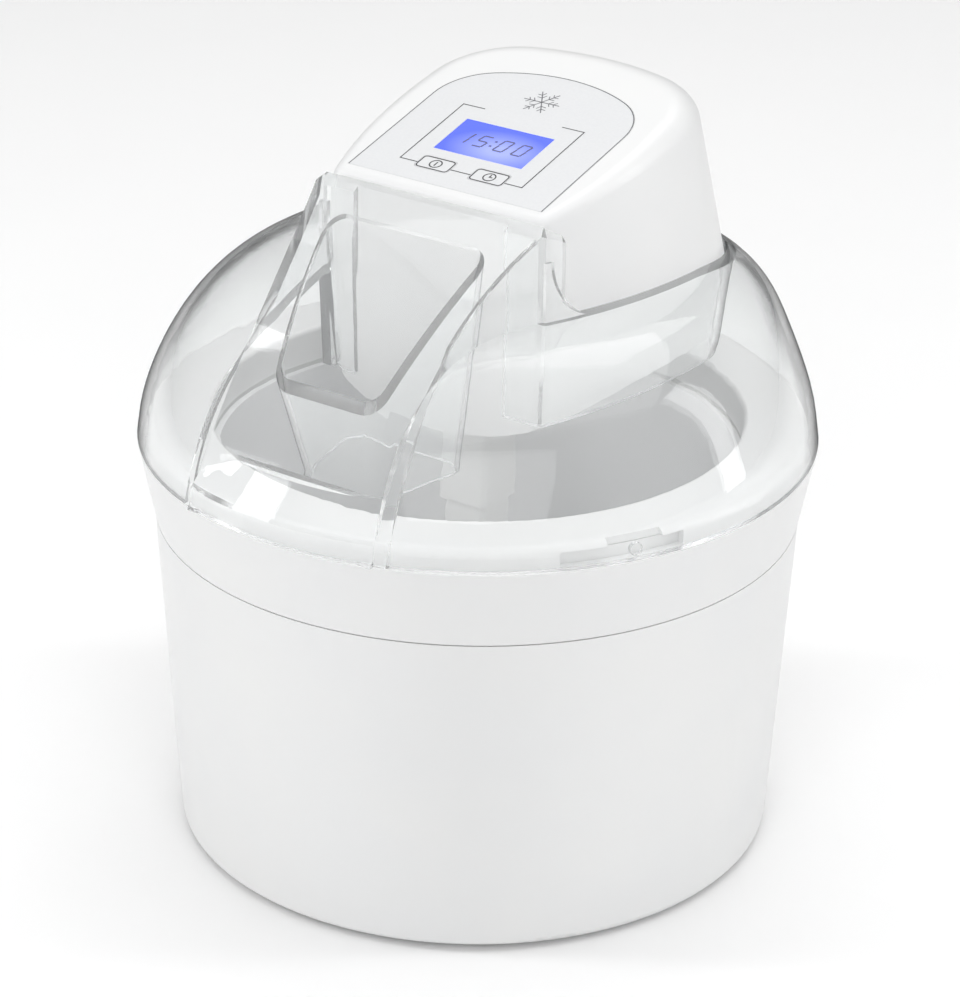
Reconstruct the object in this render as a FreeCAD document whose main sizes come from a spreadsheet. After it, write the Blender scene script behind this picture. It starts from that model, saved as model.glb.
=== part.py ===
import FreeCAD, Part
import math
import operator
import os
import types
import Sketcher

# Ice cream maker: a tub with a lift-out freezer bowl, a clear lid with a filling hood, and a drive head
# that turns the mixing paddle. Millimetres, +Z up, the panel faces -Y, the paddle turns about the Z axis.

V = FreeCAD.Vector
SIZES = {
    # Tub
    "foot_height": 2.0,
    "foot_radius": 7.0,
    "foot_recess": 1.0,
    "foot_circle": 80.0,
    "foot_clearance": 0.12,
    "casing_foot_radius": 97.0,
    "casing_rim_radius": 103.0,
    "casing_top": 110.0,
    "casing_wall": 2.6,
    "casing_floor": 2.6,
    "casing_edge": 2.5,
    "rest_ring_radius": 62.0,
    "rest_ring_width": 3.0,
    "rest_ring_height": 8.0,
    "seat_gap": 0.4,
    # Freezer bowl
    "shell_foot_radius": 88.0,
    "shell_rim_radius": 96.4,
    "shell_wall": 2.0,
    "liner_foot_radius": 77.0,
    "liner_rim_radius": 82.0,
    "liner_wall": 1.5,
    "liner_corner": 14.0,
    "flange_width": 7.0,
    "gel_depth": 6.0,
    "gel_top": 118.0,
    "gel_gap": 0.3,
    "seal_height": 1.5,
    "seal_width": 2.2,
    "plug_radius": 5.8,
    "plug_flange_radius": 8.5,
    "plug_flange_height": 1.6,
    "plug_clearance": 0.1,
    # Collar of the bowl
    "collar_bore_radius": 84.0,
    "collar_wall": 2.4,
    "collar_top": 142.6,
    "collar_lip_depth": 11.6,
    "collar_lip_round": 1.5,
    "collar_shoulder": 3.0,
    "neck_radius": 104.8,
    "ledge_height": 135.8,
    "band_radius": 108.0,
    "spigot_depth": 6.4,
    "spigot_wall": 2.0,
    "spigot_clearance": 0.8,
    "lock_angle": 61.0,
    "lock_slot_before": 13.0,
    "lock_slot_after": 9.0,
    "lock_entry_half": 5.0,
    "lock_slot_height": 4.6,
    "lock_pin_radius": 2.0,
    "lock_pin_length": 2.0,
    # Lid
    "lid_wall": 2.5,
    "dome_radius_rim": 107.0,
    "dome_height_low": 16.0,
    "dome_radius_low": 104.6,
    "dome_lean_low": 0.4,
    "dome_height_middle": 26.0,
    "dome_radius_middle": 100.5,
    "dome_lean_middle": 1.2,
    "dome_height_high": 36.0,
    "dome_radius_high": 95.1,
    "dome_lean_high": 3.2,
    "dome_height_shoulder": 46.0,
    "dome_radius_shoulder": 86.5,
    "dome_lean_shoulder": 7.0,
    "dome_height_crest": 51.8,
    "dome_radius_crest": 76.0,
    "dome_lean_crest": 9.0,
    "dome_height_top": 54.3,
    "dome_radius_top": 64.0,
    "dome_lean_top": 10.0,
    "hood_radius": 173.5,
    "hood_axis_y": 54.5,
    "hood_axis_z": 65.8,
    "hood_back_y": -20.0,
    "hood_back_half": 45.0,
    "hood_front_y": -125.0,
    "hood_front_half": 38.2,
    "hood_waist_y": -83.0,
    "hood_raised_y": -62.0,
    "hood_sunk_y": -84.0,
    "skirt_height": 6.8,
    "skirt_flare_height": 10.0,
    "skirt_flare": 10.0,
    "chute_top_z": 214.0,
    "chute_top_back_y": -35.2,
    "chute_top_back_half": 31.0,
    "chute_top_front_y": -92.0,
    "chute_top_front_half": 24.0,
    "chute_foot_z": 141.0,
    "chute_foot_back_y": -36.0,
    "chute_foot_back_half": 23.0,
    "chute_foot_front_y": -72.0,
    "chute_foot_front_half": 16.0,
    "chute_round": 7.0,
    "chute_wall": 1.8,
    "well_foot_z": 156.0,
    "well_wall": 2.4,
    "well_gap": 28.0,
    "cheek_radius": 22.0,
    "cheek_foot_z": 187.5,
    # Drive head
    "head_front_y": -24.5,
    "head_corner": 5.0,
    "head_wall": 2.4,
    "head_clearance": 0.8,
    "keel_z": 140.0,
    "keel_front_half": 38.5,
    "keel_side_half": 49.5,
    "keel_shoulder_y": 45.0,
    "keel_corner": 29.0,
    "keel_back_y": 77.0,
    "split_z": 186.0,
    "split_front_half": 40.0,
    "split_side_half": 56.0,
    "split_shoulder_y": 44.0,
    "split_corner": 38.0,
    "split_back_y": 84.0,
    "crown_z": 252.0,
    "crown_front_half": 39.0,
    "crown_side_half": 44.5,
    "crown_shoulder_y": 40.0,
    "crown_corner": 27.0,
    "crown_back_y": 69.0,
    "hull_bottom": 144.0,
    "hull_radius": 85.0,
    "top_round_front": 4.0,
    "top_round_side": 8.0,
    "top_round_back": 11.0,
    "panel_y": -2.23,
    "panel_z": 226.26,
    "panel_tilt": 13.275,
    # Control panel, in its own slope
    "overlay_half": 36.0,
    "overlay_front": -18.3,
    "overlay_shoulder": 28.0,
    "overlay_apex": 51.6,
    "overlay_corner": 20.0,
    "overlay_thick": 0.8,
    "panel_clearance": 0.12,
    "window_width": 32.6,
    "window_height": 18.6,
    "window_ledge": 1.3,
    "top_wall": 2.6,
    "key_width": 12.5,
    "key_height": 7.0,
    "key_x": 10.0,
    "key_y": -8.0,
    "key_flange": 1.2,
    "key_flange_thick": 1.4,
    "key_travel": 0.7,
    "key_stem_radius": 1.8,
    "key_stem": 0.6,
    "key_round": 1.6,
    "module_width": 40.0,
    "module_height": 25.0,
    "module_thick": 5.4,
    "board_width": 54.0,
    "board_height": 44.0,
    "board_front": -15.0,
    "board_thick": 1.6,
    "switch_size": 6.0,
    # Gear train, from the motor to the paddle
    "pinion_teeth": 12,
    "fast_wheel_teeth": 60,
    "slow_wheel_teeth": 48,
    "output_teeth": 42,
    "fast_module": 0.5,
    "slow_module": 0.7,
    "output_module": 0.9,
    "pressure_angle": 25.0,
    "tooth_addendum": 0.8,
    "tooth_dedendum": 1.05,
    "backlash": 0.12,
    "gear_gap": 1.0,
    "output_gear_z": 153.4,
    "output_gear_thick": 8.0,
    "slow_wheel_thick": 5.0,
    "fast_wheel_thick": 4.0,
    "pinion_overlap": 0.6,
    "hub_radius": 2.8,
    "hub_gap": 0.3,
    "pin_radius": 1.5,
    "pin_clearance": 0.06,
    "pin_depth": 4.0,
    "press_clearance": 0.03,
    "post_radius": 4.0,
    "plate_thick": 2.5,
    "plate_clearance": 0.6,
    # Output shaft and its bearings
    "shaft_radius": 4.0,
    "shaft_clearance": 0.06,
    "bush_wall": 1.9,
    "boss_wall": 3.0,
    "boss_foot_z": 140.0,
    "boss_top_z": 152.0,
    "seal_recess": 0.3,
    "seal_thick": 2.5,
    "circlip_thick": 0.8,
    "circlip_depth": 0.5,
    "circlip_width": 1.7,
    "circlip_opening": 60.0,
    "drive_square": 5.5,
    "drive_length": 21.0,
    # Motor, boards, screws and cord inlet
    "motor_radius": 16.0,
    "motor_height": 34.0,
    "motor_nose_radius": 5.0,
    "motor_shaft_radius": 1.2,
    "motor_shaft_depth": 8.0,
    "motor_screw_spread": 8.0,
    "motor_screw_radius": 1.2,
    "motor_screw_head": 2.2,
    "motor_screw_length": 8.0,
    "screw_front_x": 33.5,
    "screw_front_y": -8.0,
    "screw_back_y": 57.0,
    "screw_radius": 1.5,
    "screw_head_radius": 3.0,
    "screw_head_height": 2.0,
    "screw_seat_z": 160.0,
    "screw_length": 32.0,
    "screw_clearance": 0.1,
    "screw_post_wall": 1.2,
    "supply_x": -20.0,
    "supply_y": 36.0,
    "supply_width": 27.0,
    "supply_depth": 28.0,
    "supply_lift": 11.0,
    "coil_width": 16.0,
    "coil_height": 14.0,
    "gland_z": 200.0,
    "gland_radius": 5.0,
    "gland_flange_radius": 7.5,
    "gland_flange_thick": 2.0,
    "gland_bore": 3.3,
    "gland_clearance": 0.1,
    # Paddle
    "paddle_foot_gap": 0.5,
    "paddle_stem": 15.4,
    "paddle_hub": 18.4,
    "paddle_hub_z": 112.0,
    "paddle_top_z": 139.4,
    "paddle_reach": 73.0,
    "paddle_blade_top": 86.0,
    "paddle_blade_thick": 5.0,
    "paddle_arm": 9.0,
    "paddle_bar": 9.0,
    "paddle_socket_gap": 0.15,
    "paddle_socket_depth": 22.5,
    "paddle_round": 2.0,
}
TOUCHING = 0.01
OPERATIONS = {"+": operator.add, "-": operator.sub, "*": operator.mul, "/": operator.truediv}


class Size:
    """A size from the sheet, or one worked out from such sizes, with its value and its expression."""

    def __init__(self, value, text):
        self.value = value
        self.text = text

    def __add__(self, other):
        return combine(self, other, "+")

    def __radd__(self, other):
        return combine(other, self, "+")

    def __sub__(self, other):
        return combine(self, other, "-")

    def __rsub__(self, other):
        return combine(other, self, "-")

    def __mul__(self, other):
        return combine(self, other, "*")

    def __rmul__(self, other):
        return combine(other, self, "*")

    def __truediv__(self, other):
        return combine(self, other, "/")

    def __rtruediv__(self, other):
        return combine(other, self, "/")

    def __neg__(self):
        return combine(0, self, "-")


def as_size(item):
    """A plain number as a Size."""
    if isinstance(item, Size):
        return item
    return Size(float(item), repr(float(item)))


def combine(first, second, sign):
    """The sum, difference, product or ratio of two sizes."""
    a = as_size(first)
    b = as_size(second)
    return Size(OPERATIONS[sign](a.value, b.value), "(%s %s %s)" % (a.text, sign, b.text))


def root(item):
    """The square root of a size."""
    return Size(math.sqrt(item.value), "sqrt(%s)" % item.text)


doc = FreeCAD.newDocument("ice_cream_maker")
sheet = doc.addObject("Spreadsheet::Sheet", "Sizes")
for row, (alias, number) in enumerate(SIZES.items(), start=1):
    sheet.set("A%d" % row, alias)
    sheet.set("B%d" % row, str(number))
    sheet.setAlias("B%d" % row, alias)
doc.recompute()
S = types.SimpleNamespace(**{alias: Size(float(number), "Sizes." + alias) for alias, number in SIZES.items()})
parts = []


def bind(item, place, size):
    """Ties one property of an object to a size."""
    item.setExpression(place, as_size(size).text)


def place(item, x=0, y=0, z=0):
    """Ties an object's position to three sizes."""
    for axis, size in zip("xyz", (x, y, z)):
        bind(item, "Placement.Base." + axis, size)
    return item


def keep(item, label):
    """Marks an object as a finished piece with its name."""
    item.Label = label
    parts.append(item)
    return item


# Sketches


def centre_on_level(first, second, level):
    """Centre of the arc through two points whose centre lies at the given sketch height."""
    drop_first = first[1] - level
    drop_second = second[1] - level
    far = second[0] * second[0] + drop_second * drop_second
    near = first[0] * first[0] + drop_first * drop_first
    return ((far - near) / (2 * (second[0] - first[0])), level)


def draw_side(sketch, first, second, arc):
    """Adds one side of an outline, a line or an arc, and returns its number and its two end marks."""
    start = V(as_size(first[0]).value, as_size(first[1]).value, 0)
    end = V(as_size(second[0]).value, as_size(second[1]).value, 0)
    if arc is None:
        return sketch.addGeometry(Part.LineSegment(start, end)), 1, 2
    centre = V(as_size(arc[0][0]).value, as_size(arc[0][1]).value, 0)
    circle = Part.Circle(centre, V(0, 0, 1), (start - centre).Length)
    angles = [math.atan2(point.y - centre.y, point.x - centre.x) for point in (start, end)]
    if arc[1] == "left":
        number = sketch.addGeometry(Part.ArcOfCircle(circle, angles[0], angles[1]))
        marks = (1, 2)
    else:
        number = sketch.addGeometry(Part.ArcOfCircle(circle, angles[1], angles[0]))
        marks = (2, 1)
    chord = end - start
    if abs(chord.x) > abs(chord.y):
        hold(sketch, "DistanceY", number, 3, arc[0][1])
    else:
        hold(sketch, "DistanceX", number, 3, arc[0][0])
    return number, marks[0], marks[1]


def hold(sketch, kind, number, mark, size):
    """Ties one coordinate of a sketch point to a size, or lays the point on the axis."""
    amount = as_size(size)
    if amount.text == "0.0":
        axis = -2 if kind == "DistanceX" else -1
        sketch.addConstraint(Sketcher.Constraint("PointOnObject", number, mark, axis))
        return
    row = sketch.addConstraint(Sketcher.Constraint(kind, -1, 1, number, mark, amount.value))
    name = "%s_%d_%d" % (kind, number, mark)
    sketch.renameConstraint(row, name)
    bind(sketch, "Constraints." + name, amount)


def draw_outline(sketch, points, arcs=None):
    """Draws a closed outline through points; arcs gives some sides a centre and a turn."""
    arcs = arcs or {}
    sides = []
    for index, point in enumerate(points):
        following = points[(index + 1) % len(points)]
        sides.append(draw_side(sketch, point, following, arcs.get(index)))
    for index, side in enumerate(sides):
        following = sides[(index + 1) % len(sides)]
        sketch.addConstraint(Sketcher.Constraint("Coincident", side[0], side[2], following[0], following[1]))
    for side, point in zip(sides, points):
        hold(sketch, "DistanceX", side[0], side[1], point[0])
        hold(sketch, "DistanceY", side[0], side[1], point[1])


def draw_circle(sketch, x, y, radius):
    """Draws a circle with its centre and radius tied to sizes."""
    centre = V(as_size(x).value, as_size(y).value, 0)
    number = sketch.addGeometry(Part.Circle(centre, V(0, 0, 1), as_size(radius).value))
    hold(sketch, "DistanceX", number, 3, x)
    hold(sketch, "DistanceY", number, 3, y)
    row = sketch.addConstraint(Sketcher.Constraint("Radius", number, as_size(radius).value))
    name = "Radius_%d" % number
    sketch.renameConstraint(row, name)
    bind(sketch, "Constraints." + name, radius)


def rectangle(left, right, low, high):
    """Corner points of a rectangle."""
    return [(left, low), (right, low), (right, high), (left, high)]


def oblong(half_width, half_height, round_radius, x=0, y=0):
    """Corner points and arcs of a rectangle with rounded corners."""
    points = []
    arcs = {}
    corners = ((1, -1, False), (1, 1, True), (-1, 1, False), (-1, -1, True))
    for index, (side, end, upright) in enumerate(corners):
        flat = (x + side * (half_width - round_radius), y + end * half_height)
        steep = (x + side * half_width, y + end * (half_height - round_radius))
        points.extend((steep, flat) if upright else (flat, steep))
        centre = (x + side * (half_width - round_radius), y + end * (half_height - round_radius))
        arcs[2 * index] = (centre, "left")
    return points, arcs


def body_plane(body, role):
    """One of a body's own origin planes."""
    return [plane for plane in body.Origin.OriginFeatures if plane.Role == role][0]


def body_sketch(body, name, role, lift=0):
    """An empty sketch on one of a body's origin planes, lifted along the plane's normal."""
    sketch = body.newObject("Sketcher::SketchObject", name)
    sketch.AttachmentSupport = (body_plane(body, role), [""])
    sketch.MapMode = "FlatFace"
    bind(sketch, "AttachmentOffset.Base.z", lift)
    return sketch


def level_sketch(name, z):
    """An empty level sketch that stands outside the bodies."""
    sketch = doc.addObject("Sketcher::SketchObject", name)
    bind(sketch, "Placement.Base.z", z)
    return sketch


# Features


def turned(name, points, arcs=None, angle=360):
    """A body turned about the Z axis from an outline of radius and height."""
    body = doc.addObject("PartDesign::Body", name)
    sketch = body_sketch(body, name + "_profile", "XZ_Plane")
    draw_outline(sketch, points, arcs)
    turn = body.newObject("PartDesign::Revolution", name + "_turn")
    turn.Profile = sketch
    turn.ReferenceAxis = (sketch, ["V_Axis"])
    bind(turn, "Angle", angle)
    return body


def pad(body, name, lift, length, outlines=(), circles=(), role="XY_Plane"):
    """Pads outlines and circles up from a lifted plane of a body."""
    sketch = body_sketch(body, name + "_sketch", role, lift)
    for points, arcs in outlines:
        draw_outline(sketch, points, arcs)
    for x, y, radius in circles:
        draw_circle(sketch, x, y, radius)
    feature = body.newObject("PartDesign::Pad", name)
    feature.Profile = sketch
    bind(feature, "Length", length)
    return feature


def pocket(body, name, lift, depth, outlines=(), circles=()):
    """Cuts outlines and circles downwards from a lifted level plane of a body."""
    sketch = body_sketch(body, name + "_sketch", "XY_Plane", lift)
    for points, arcs in outlines:
        draw_outline(sketch, points, arcs)
    for x, y, radius in circles:
        draw_circle(sketch, x, y, radius)
    feature = body.newObject("PartDesign::Pocket", name)
    feature.Profile = sketch
    bind(feature, "Length", depth)
    return feature


def new_body(name):
    """An empty body."""
    return doc.addObject("PartDesign::Body", name)


def cylinder(name, radius, bottom, top, x=0, y=0):
    """An upright cylinder between two heights."""
    item = doc.addObject("Part::Cylinder", name)
    bind(item, "Radius", radius)
    bind(item, "Height", top - bottom)
    return place(item, x, y, bottom)


def box(name, left, right, front, back, bottom, top):
    """A box between six planes."""
    item = doc.addObject("Part::Box", name)
    bind(item, "Length", right - left)
    bind(item, "Width", back - front)
    bind(item, "Height", top - bottom)
    return place(item, left, front, bottom)


def fuse(name, *items):
    """Several objects joined."""
    item = doc.addObject("Part::MultiFuse", name)
    item.Shapes = list(items)
    return item


def cut(name, base, *tools):
    """An object less one or more others."""
    item = doc.addObject("Part::Cut", name)
    item.Base = base
    item.Tool = tools[0] if len(tools) == 1 else fuse(name + "_tools", *tools)
    return item


def common(name, first, second):
    """What two objects share."""
    item = doc.addObject("Part::Common", name)
    item.Base = first
    item.Tool = second
    return item


def group(name, items):
    """Separate solids in one piece of the list."""
    item = doc.addObject("Part::Compound", name)
    item.Links = list(items)
    return item


def loft(name, *sections):
    """A solid through level sections."""
    item = doc.addObject("Part::Loft", name)
    item.Sections = list(sections)
    item.Solid = True
    return item


def extrude(name, sketch, length):
    """A solid straight up from a level sketch."""
    item = doc.addObject("Part::Extrusion", name)
    item.Base = sketch
    item.DirMode = "Normal"
    item.Solid = True
    bind(item, "LengthFwd", length)
    return item


def rounded_by_place(name, base, radius_at, chosen):
    """Rounds the edges of an object that a test picks out, by a radius that depends on the place."""
    doc.recompute()
    item = doc.addObject("Part::Fillet", name)
    item.Base = base
    edges = [(row, edge) for row, edge in enumerate(base.Shape.Edges, start=1) if chosen(edge)]
    item.Edges = [
        (row, radius_at(edge.valueAt(edge.FirstParameter)), radius_at(edge.valueAt(edge.LastParameter)))
        for row, edge in edges]
    return item


def rounded(name, base, radius, chosen):
    """Rounds the edges of an object that a test picks out, by one radius."""
    return rounded_by_place(name, base, lambda point: radius.value, chosen)


def edge_middle(edge):
    """The point half way along an edge."""
    return edge.valueAt((edge.FirstParameter + edge.LastParameter) / 2)


# Tub with its feet
casing_foot_z = S.foot_height
casing_floor_top = casing_foot_z + S.casing_floor
rest_ring_top = casing_floor_top + S.rest_ring_height
ring_outer = S.rest_ring_radius + S.rest_ring_width / 2
ring_inner = S.rest_ring_radius - S.rest_ring_width / 2
casing = turned("casing_body", [
    (0, casing_foot_z),
    (S.casing_foot_radius - S.casing_edge, casing_foot_z),
    (S.casing_foot_radius, casing_foot_z + S.casing_edge),
    (S.casing_rim_radius, S.casing_top),
    (S.casing_rim_radius - S.casing_wall, S.casing_top),
    (S.casing_foot_radius - S.casing_wall, casing_floor_top),
    (ring_outer, casing_floor_top),
    (ring_outer, rest_ring_top),
    (ring_inner, rest_ring_top),
    (ring_inner, casing_floor_top),
    (0, casing_floor_top),
], {1: ((S.casing_foot_radius - S.casing_edge, casing_foot_z + S.casing_edge), "left")})
foot_spread = S.foot_circle / math.sqrt(2)
foot_places = [(sx * foot_spread, sy * foot_spread) for sx in (-1, 1) for sy in (-1, 1)]
foot_seat_z = S.foot_height + S.foot_recess
pocket(casing, "foot_recesses", foot_seat_z, S.foot_recess + S.casing_floor,
       circles=[(x, y, S.foot_radius + S.foot_clearance) for x, y in foot_places])
keep(casing, "outer_casing")
feet = [cylinder("foot_%d" % row, S.foot_radius, 0, foot_seat_z, x, y)
        for row, (x, y) in enumerate(foot_places, start=1)]
keep(group("feet", feet), "rubber_feet")

# Freezer bowl: plastic shell, gel, aluminium liner, seal and filling plug
shell_foot_z = rest_ring_top + S.seat_gap
shell_floor_top = shell_foot_z + S.shell_wall
collar_under = S.collar_top - S.collar_wall
shell = turned("shell_body", [
    (S.plug_radius + S.plug_clearance, shell_foot_z),
    (S.shell_foot_radius, shell_foot_z),
    (S.shell_rim_radius, collar_under),
    (S.shell_rim_radius - S.shell_wall, collar_under),
    (S.shell_foot_radius - S.shell_wall, shell_floor_top),
    (S.plug_radius + S.plug_clearance, shell_floor_top),
])
keep(shell, "bowl_outer_shell")
plug_flange_z = shell_foot_z - S.plug_flange_height
plug = turned("plug_body", [
    (0, plug_flange_z),
    (S.plug_flange_radius, plug_flange_z),
    (S.plug_flange_radius, shell_foot_z),
    (S.plug_radius, shell_foot_z),
    (S.plug_radius, shell_floor_top),
    (0, shell_floor_top),
])
keep(plug, "coolant_plug")

liner_foot_z = shell_floor_top + S.gel_depth + 2 * S.gel_gap
liner_floor_z = liner_foot_z + S.liner_wall
lip_foot_z = S.collar_top - S.collar_lip_depth
flange_top = lip_foot_z - S.seal_height
flange_foot = flange_top - S.liner_wall
liner_corner_z = liner_floor_z + S.liner_corner
liner_outer_foot = S.liner_foot_radius + S.liner_wall
liner_outer_rim = S.liner_rim_radius + S.liner_wall
corner_middle = (S.liner_foot_radius - S.liner_corner, liner_corner_z)
liner = turned("liner_body", [
    (0, liner_foot_z),
    (corner_middle[0], liner_foot_z),
    (liner_outer_foot, liner_corner_z),
    (liner_outer_rim, flange_foot),
    (S.liner_rim_radius + S.flange_width, flange_foot),
    (S.liner_rim_radius + S.flange_width, flange_top),
    (S.liner_rim_radius, flange_top),
    (S.liner_foot_radius, liner_corner_z),
    (corner_middle[0], liner_floor_z),
    (0, liner_floor_z),
], {1: (corner_middle, "left"), 7: (corner_middle, "right")})
keep(liner, "bowl_liner")

gel_foot = shell_floor_top + S.gel_gap
shell_slope = (S.shell_rim_radius - S.shell_foot_radius) / (collar_under - shell_foot_z)
liner_slope = (S.liner_rim_radius - S.liner_foot_radius) / (flange_foot - liner_corner_z)
gel_outer_foot = S.shell_foot_radius - S.shell_wall - S.gel_gap
gel_outer_top = gel_outer_foot + shell_slope * (S.gel_top - gel_foot)
gel_inner_foot = liner_outer_foot + S.gel_gap
gel_inner_top = gel_inner_foot + liner_slope * (S.gel_top - liner_corner_z)
gel = turned("gel_body", [
    (0, gel_foot),
    (gel_outer_foot, gel_foot),
    (gel_outer_top, S.gel_top),
    (gel_inner_top, S.gel_top),
    (gel_inner_foot, liner_corner_z),
    (corner_middle[0], liner_foot_z - S.gel_gap),
    (0, liner_foot_z - S.gel_gap),
], {4: (corner_middle, "right")})
keep(gel, "coolant_gel")
seal = turned("seal_body", rectangle(S.collar_bore_radius, S.collar_bore_radius + S.seal_width,
                                     flange_top, lip_foot_z))
keep(seal, "liner_seal")

# Collar: a flared band over the tub, a neck that the lid slips over, and a lip round the liner
band_foot_z = S.casing_top + S.seat_gap
spigot_outer = S.casing_rim_radius - S.casing_wall - S.spigot_clearance
spigot_inner = spigot_outer - S.spigot_wall
spigot_foot_z = S.casing_top - S.spigot_depth
lip_outer = S.collar_bore_radius + S.collar_wall
band_top_inner = S.band_radius - S.collar_wall
band_inner_z = S.ledge_height - S.collar_wall
band_points = [
    (spigot_inner, spigot_foot_z),
    (spigot_outer, spigot_foot_z),
    (spigot_outer, band_foot_z),
    (S.casing_rim_radius, band_foot_z),
    (S.band_radius, S.ledge_height),
    (S.neck_radius, S.ledge_height),
    (S.neck_radius, S.collar_top - S.collar_shoulder),
    (S.neck_radius - S.collar_shoulder, S.collar_top),
    (S.collar_bore_radius + S.collar_lip_round, S.collar_top),
    (S.collar_bore_radius, S.collar_top - S.collar_lip_round),
    (S.collar_bore_radius, lip_foot_z),
    (lip_outer, lip_foot_z),
    (lip_outer, collar_under),
    (S.neck_radius - S.collar_wall, collar_under),
    (S.neck_radius - S.collar_wall, band_inner_z),
    (band_top_inner, band_inner_z),
    (S.casing_rim_radius - S.collar_wall, band_foot_z + S.collar_wall),
    (spigot_inner, band_foot_z + S.collar_wall),
]
shoulder_middle = (S.neck_radius - S.collar_shoulder, S.collar_top - S.collar_shoulder)
lip_middle = (S.collar_bore_radius + S.collar_lip_round, S.collar_top - S.collar_lip_round)
collar_ring = turned("collar_ring", band_points, {
    6: (shoulder_middle, "left"),
    8: (lip_middle, "left"),
})
lock_z = S.ledge_height + S.seat_gap + S.lock_slot_height / 2
slot_floor_z = lock_z - S.lock_slot_height / 2
slot_inner = S.neck_radius - S.collar_wall - S.seat_gap


def lock_cut(name, turn_from, angle, top):
    """A stretch of ring that cuts a slot through the neck, seen from above in degrees from -Y."""
    item = turned(name, rectangle(slot_inner, S.band_radius, slot_floor_z, top), angle=angle)
    item.Placement = FreeCAD.Placement(V(0, 0, 0), FreeCAD.Rotation(V(0, 0, 1), 0))
    bind(item, "Placement.Rotation.Angle", turn_from)
    return item


lock_cuts = []
for number, half_turn in enumerate((-90, 90), start=1):
    slot_from = S.lock_angle - S.lock_slot_before + half_turn
    lock_cuts.append(lock_cut("lock_slot_%d" % number, slot_from, S.lock_slot_before + S.lock_slot_after,
                              slot_floor_z + S.lock_slot_height))
    lock_cuts.append(lock_cut("lock_entry_%d" % number, S.lock_angle - S.lock_entry_half + half_turn,
                              2 * S.lock_entry_half, S.collar_top + S.collar_wall))
keep(cut("collar", collar_ring, *lock_cuts), "bowl_collar")

# Drive head: outlines of its body at three heights
KEEL_PLAN = (S.keel_front_half, S.keel_side_half, S.keel_shoulder_y, S.keel_corner, S.keel_back_y)
SPLIT_PLAN = (S.split_front_half, S.split_side_half, S.split_shoulder_y, S.split_corner, S.split_back_y)
CROWN_PLAN = (S.crown_front_half, S.crown_side_half, S.crown_shoulder_y, S.crown_corner, S.crown_back_y)


def arch(half, shoulder, corner, apex):
    """Corner points and arc centres of three arcs that join two upright sides over an apex."""
    shoulder_x = half - corner
    drop = shoulder - apex
    top = (corner * corner - shoulder_x * shoulder_x - drop * drop) / (2 * (drop + corner))
    share = top / (top - corner)
    join = (share * shoulder_x, apex - top + share * (drop + top))
    points = [(half, shoulder), join, (-join[0], join[1]), (-half, shoulder)]
    return points, [(shoulder_x, shoulder), (0, apex - top), (-shoulder_x, shoulder)]


def head_outline(name, plan, z, grow):
    """The head's plan at one height, grown outwards by a distance."""
    front_half, side_half, shoulder_y, corner, back_y = plan
    front = (front_half + grow, S.head_front_y - grow)
    points, centres = arch(side_half + grow, shoulder_y, corner + grow, back_y + grow)
    side_middle = centre_on_level(front, points[0], shoulder_y)
    middles = [side_middle] + centres + [(-side_middle[0], side_middle[1])]
    sketch = level_sketch(name, z)
    draw_outline(sketch, [(-front[0], front[1]), front] + points,
                 {row: (middle, "left") for row, middle in enumerate(middles, start=1)})
    return sketch


def keel_outline(name, grow):
    """The head's plan at the foot of its lower half."""
    return head_outline(name, KEEL_PLAN, S.keel_z, grow)


def split_outline(name, grow):
    """The head's plan where its halves meet, its widest."""
    return head_outline(name, SPLIT_PLAN, S.split_z, grow)


def crown_outline(name, grow):
    """The head's plan above its sloping top."""
    return head_outline(name, CROWN_PLAN, S.crown_z, grow)


def upright_edge(edge):
    """True for edges that climb more than they run."""
    ends = [vertex.Point for vertex in edge.Vertexes]
    return len(ends) == 2 and abs(ends[0].z - ends[1].z) > (ends[0] - ends[1]).Length / 2


def front_corner(edge):
    """True for the upright edges at the head's two front corners."""
    ends = [vertex.Point for vertex in edge.Vertexes]
    in_front = max(point.y for point in ends) < S.head_front_y.value + S.head_corner.value / 5
    return in_front and upright_edge(edge)


def panel_body(name):
    """A body that lies in the slope of the control panel, with its origin at the window's lower edge."""
    body = new_body(name)
    body.Placement = FreeCAD.Placement(V(0, 0, 0), FreeCAD.Rotation(V(1, 0, 0), 1))
    bind(body, "Placement.Rotation.Angle", S.panel_tilt)
    return place(body, 0, S.panel_y, S.panel_z)


# Gear places and heights, from the paddle axis back to the motor
output_spread = S.output_module * (S.pinion_teeth + S.output_teeth) / 2
slow_spread = S.slow_module * (S.pinion_teeth + S.slow_wheel_teeth) / 2
fast_spread = S.fast_module * (S.pinion_teeth + S.fast_wheel_teeth) / 2
slow_at = (0, output_spread)
fast_at = (slow_spread, output_spread)
motor_at = (slow_spread, output_spread + fast_spread)
output_top = S.output_gear_z + S.output_gear_thick
slow_wheel_z = output_top + 2 * S.gear_gap
slow_wheel_top = slow_wheel_z + S.slow_wheel_thick
fast_wheel_z = slow_wheel_top + 2 * S.gear_gap
fast_wheel_top = fast_wheel_z + S.fast_wheel_thick
plate_z = fast_wheel_top + 3 * S.gear_gap
plate_top = plate_z + S.plate_thick
screw_places = [(-S.screw_front_x, S.screw_front_y), (S.screw_front_x, S.screw_front_y), (0, S.screw_back_y)]
screw_post_radius = S.screw_head_radius + S.screw_post_wall
bush_radius = S.shaft_radius + S.bush_wall
bush_seat = bush_radius + S.press_clearance
pin_seat = S.pin_radius + S.press_clearance
slow_post_top = S.output_gear_z - S.gear_gap
fast_post_top = slow_wheel_z - 2 * S.gear_gap
slow_pin_foot = slow_post_top - S.pin_depth
fast_pin_foot = fast_post_top - S.pin_depth

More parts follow.
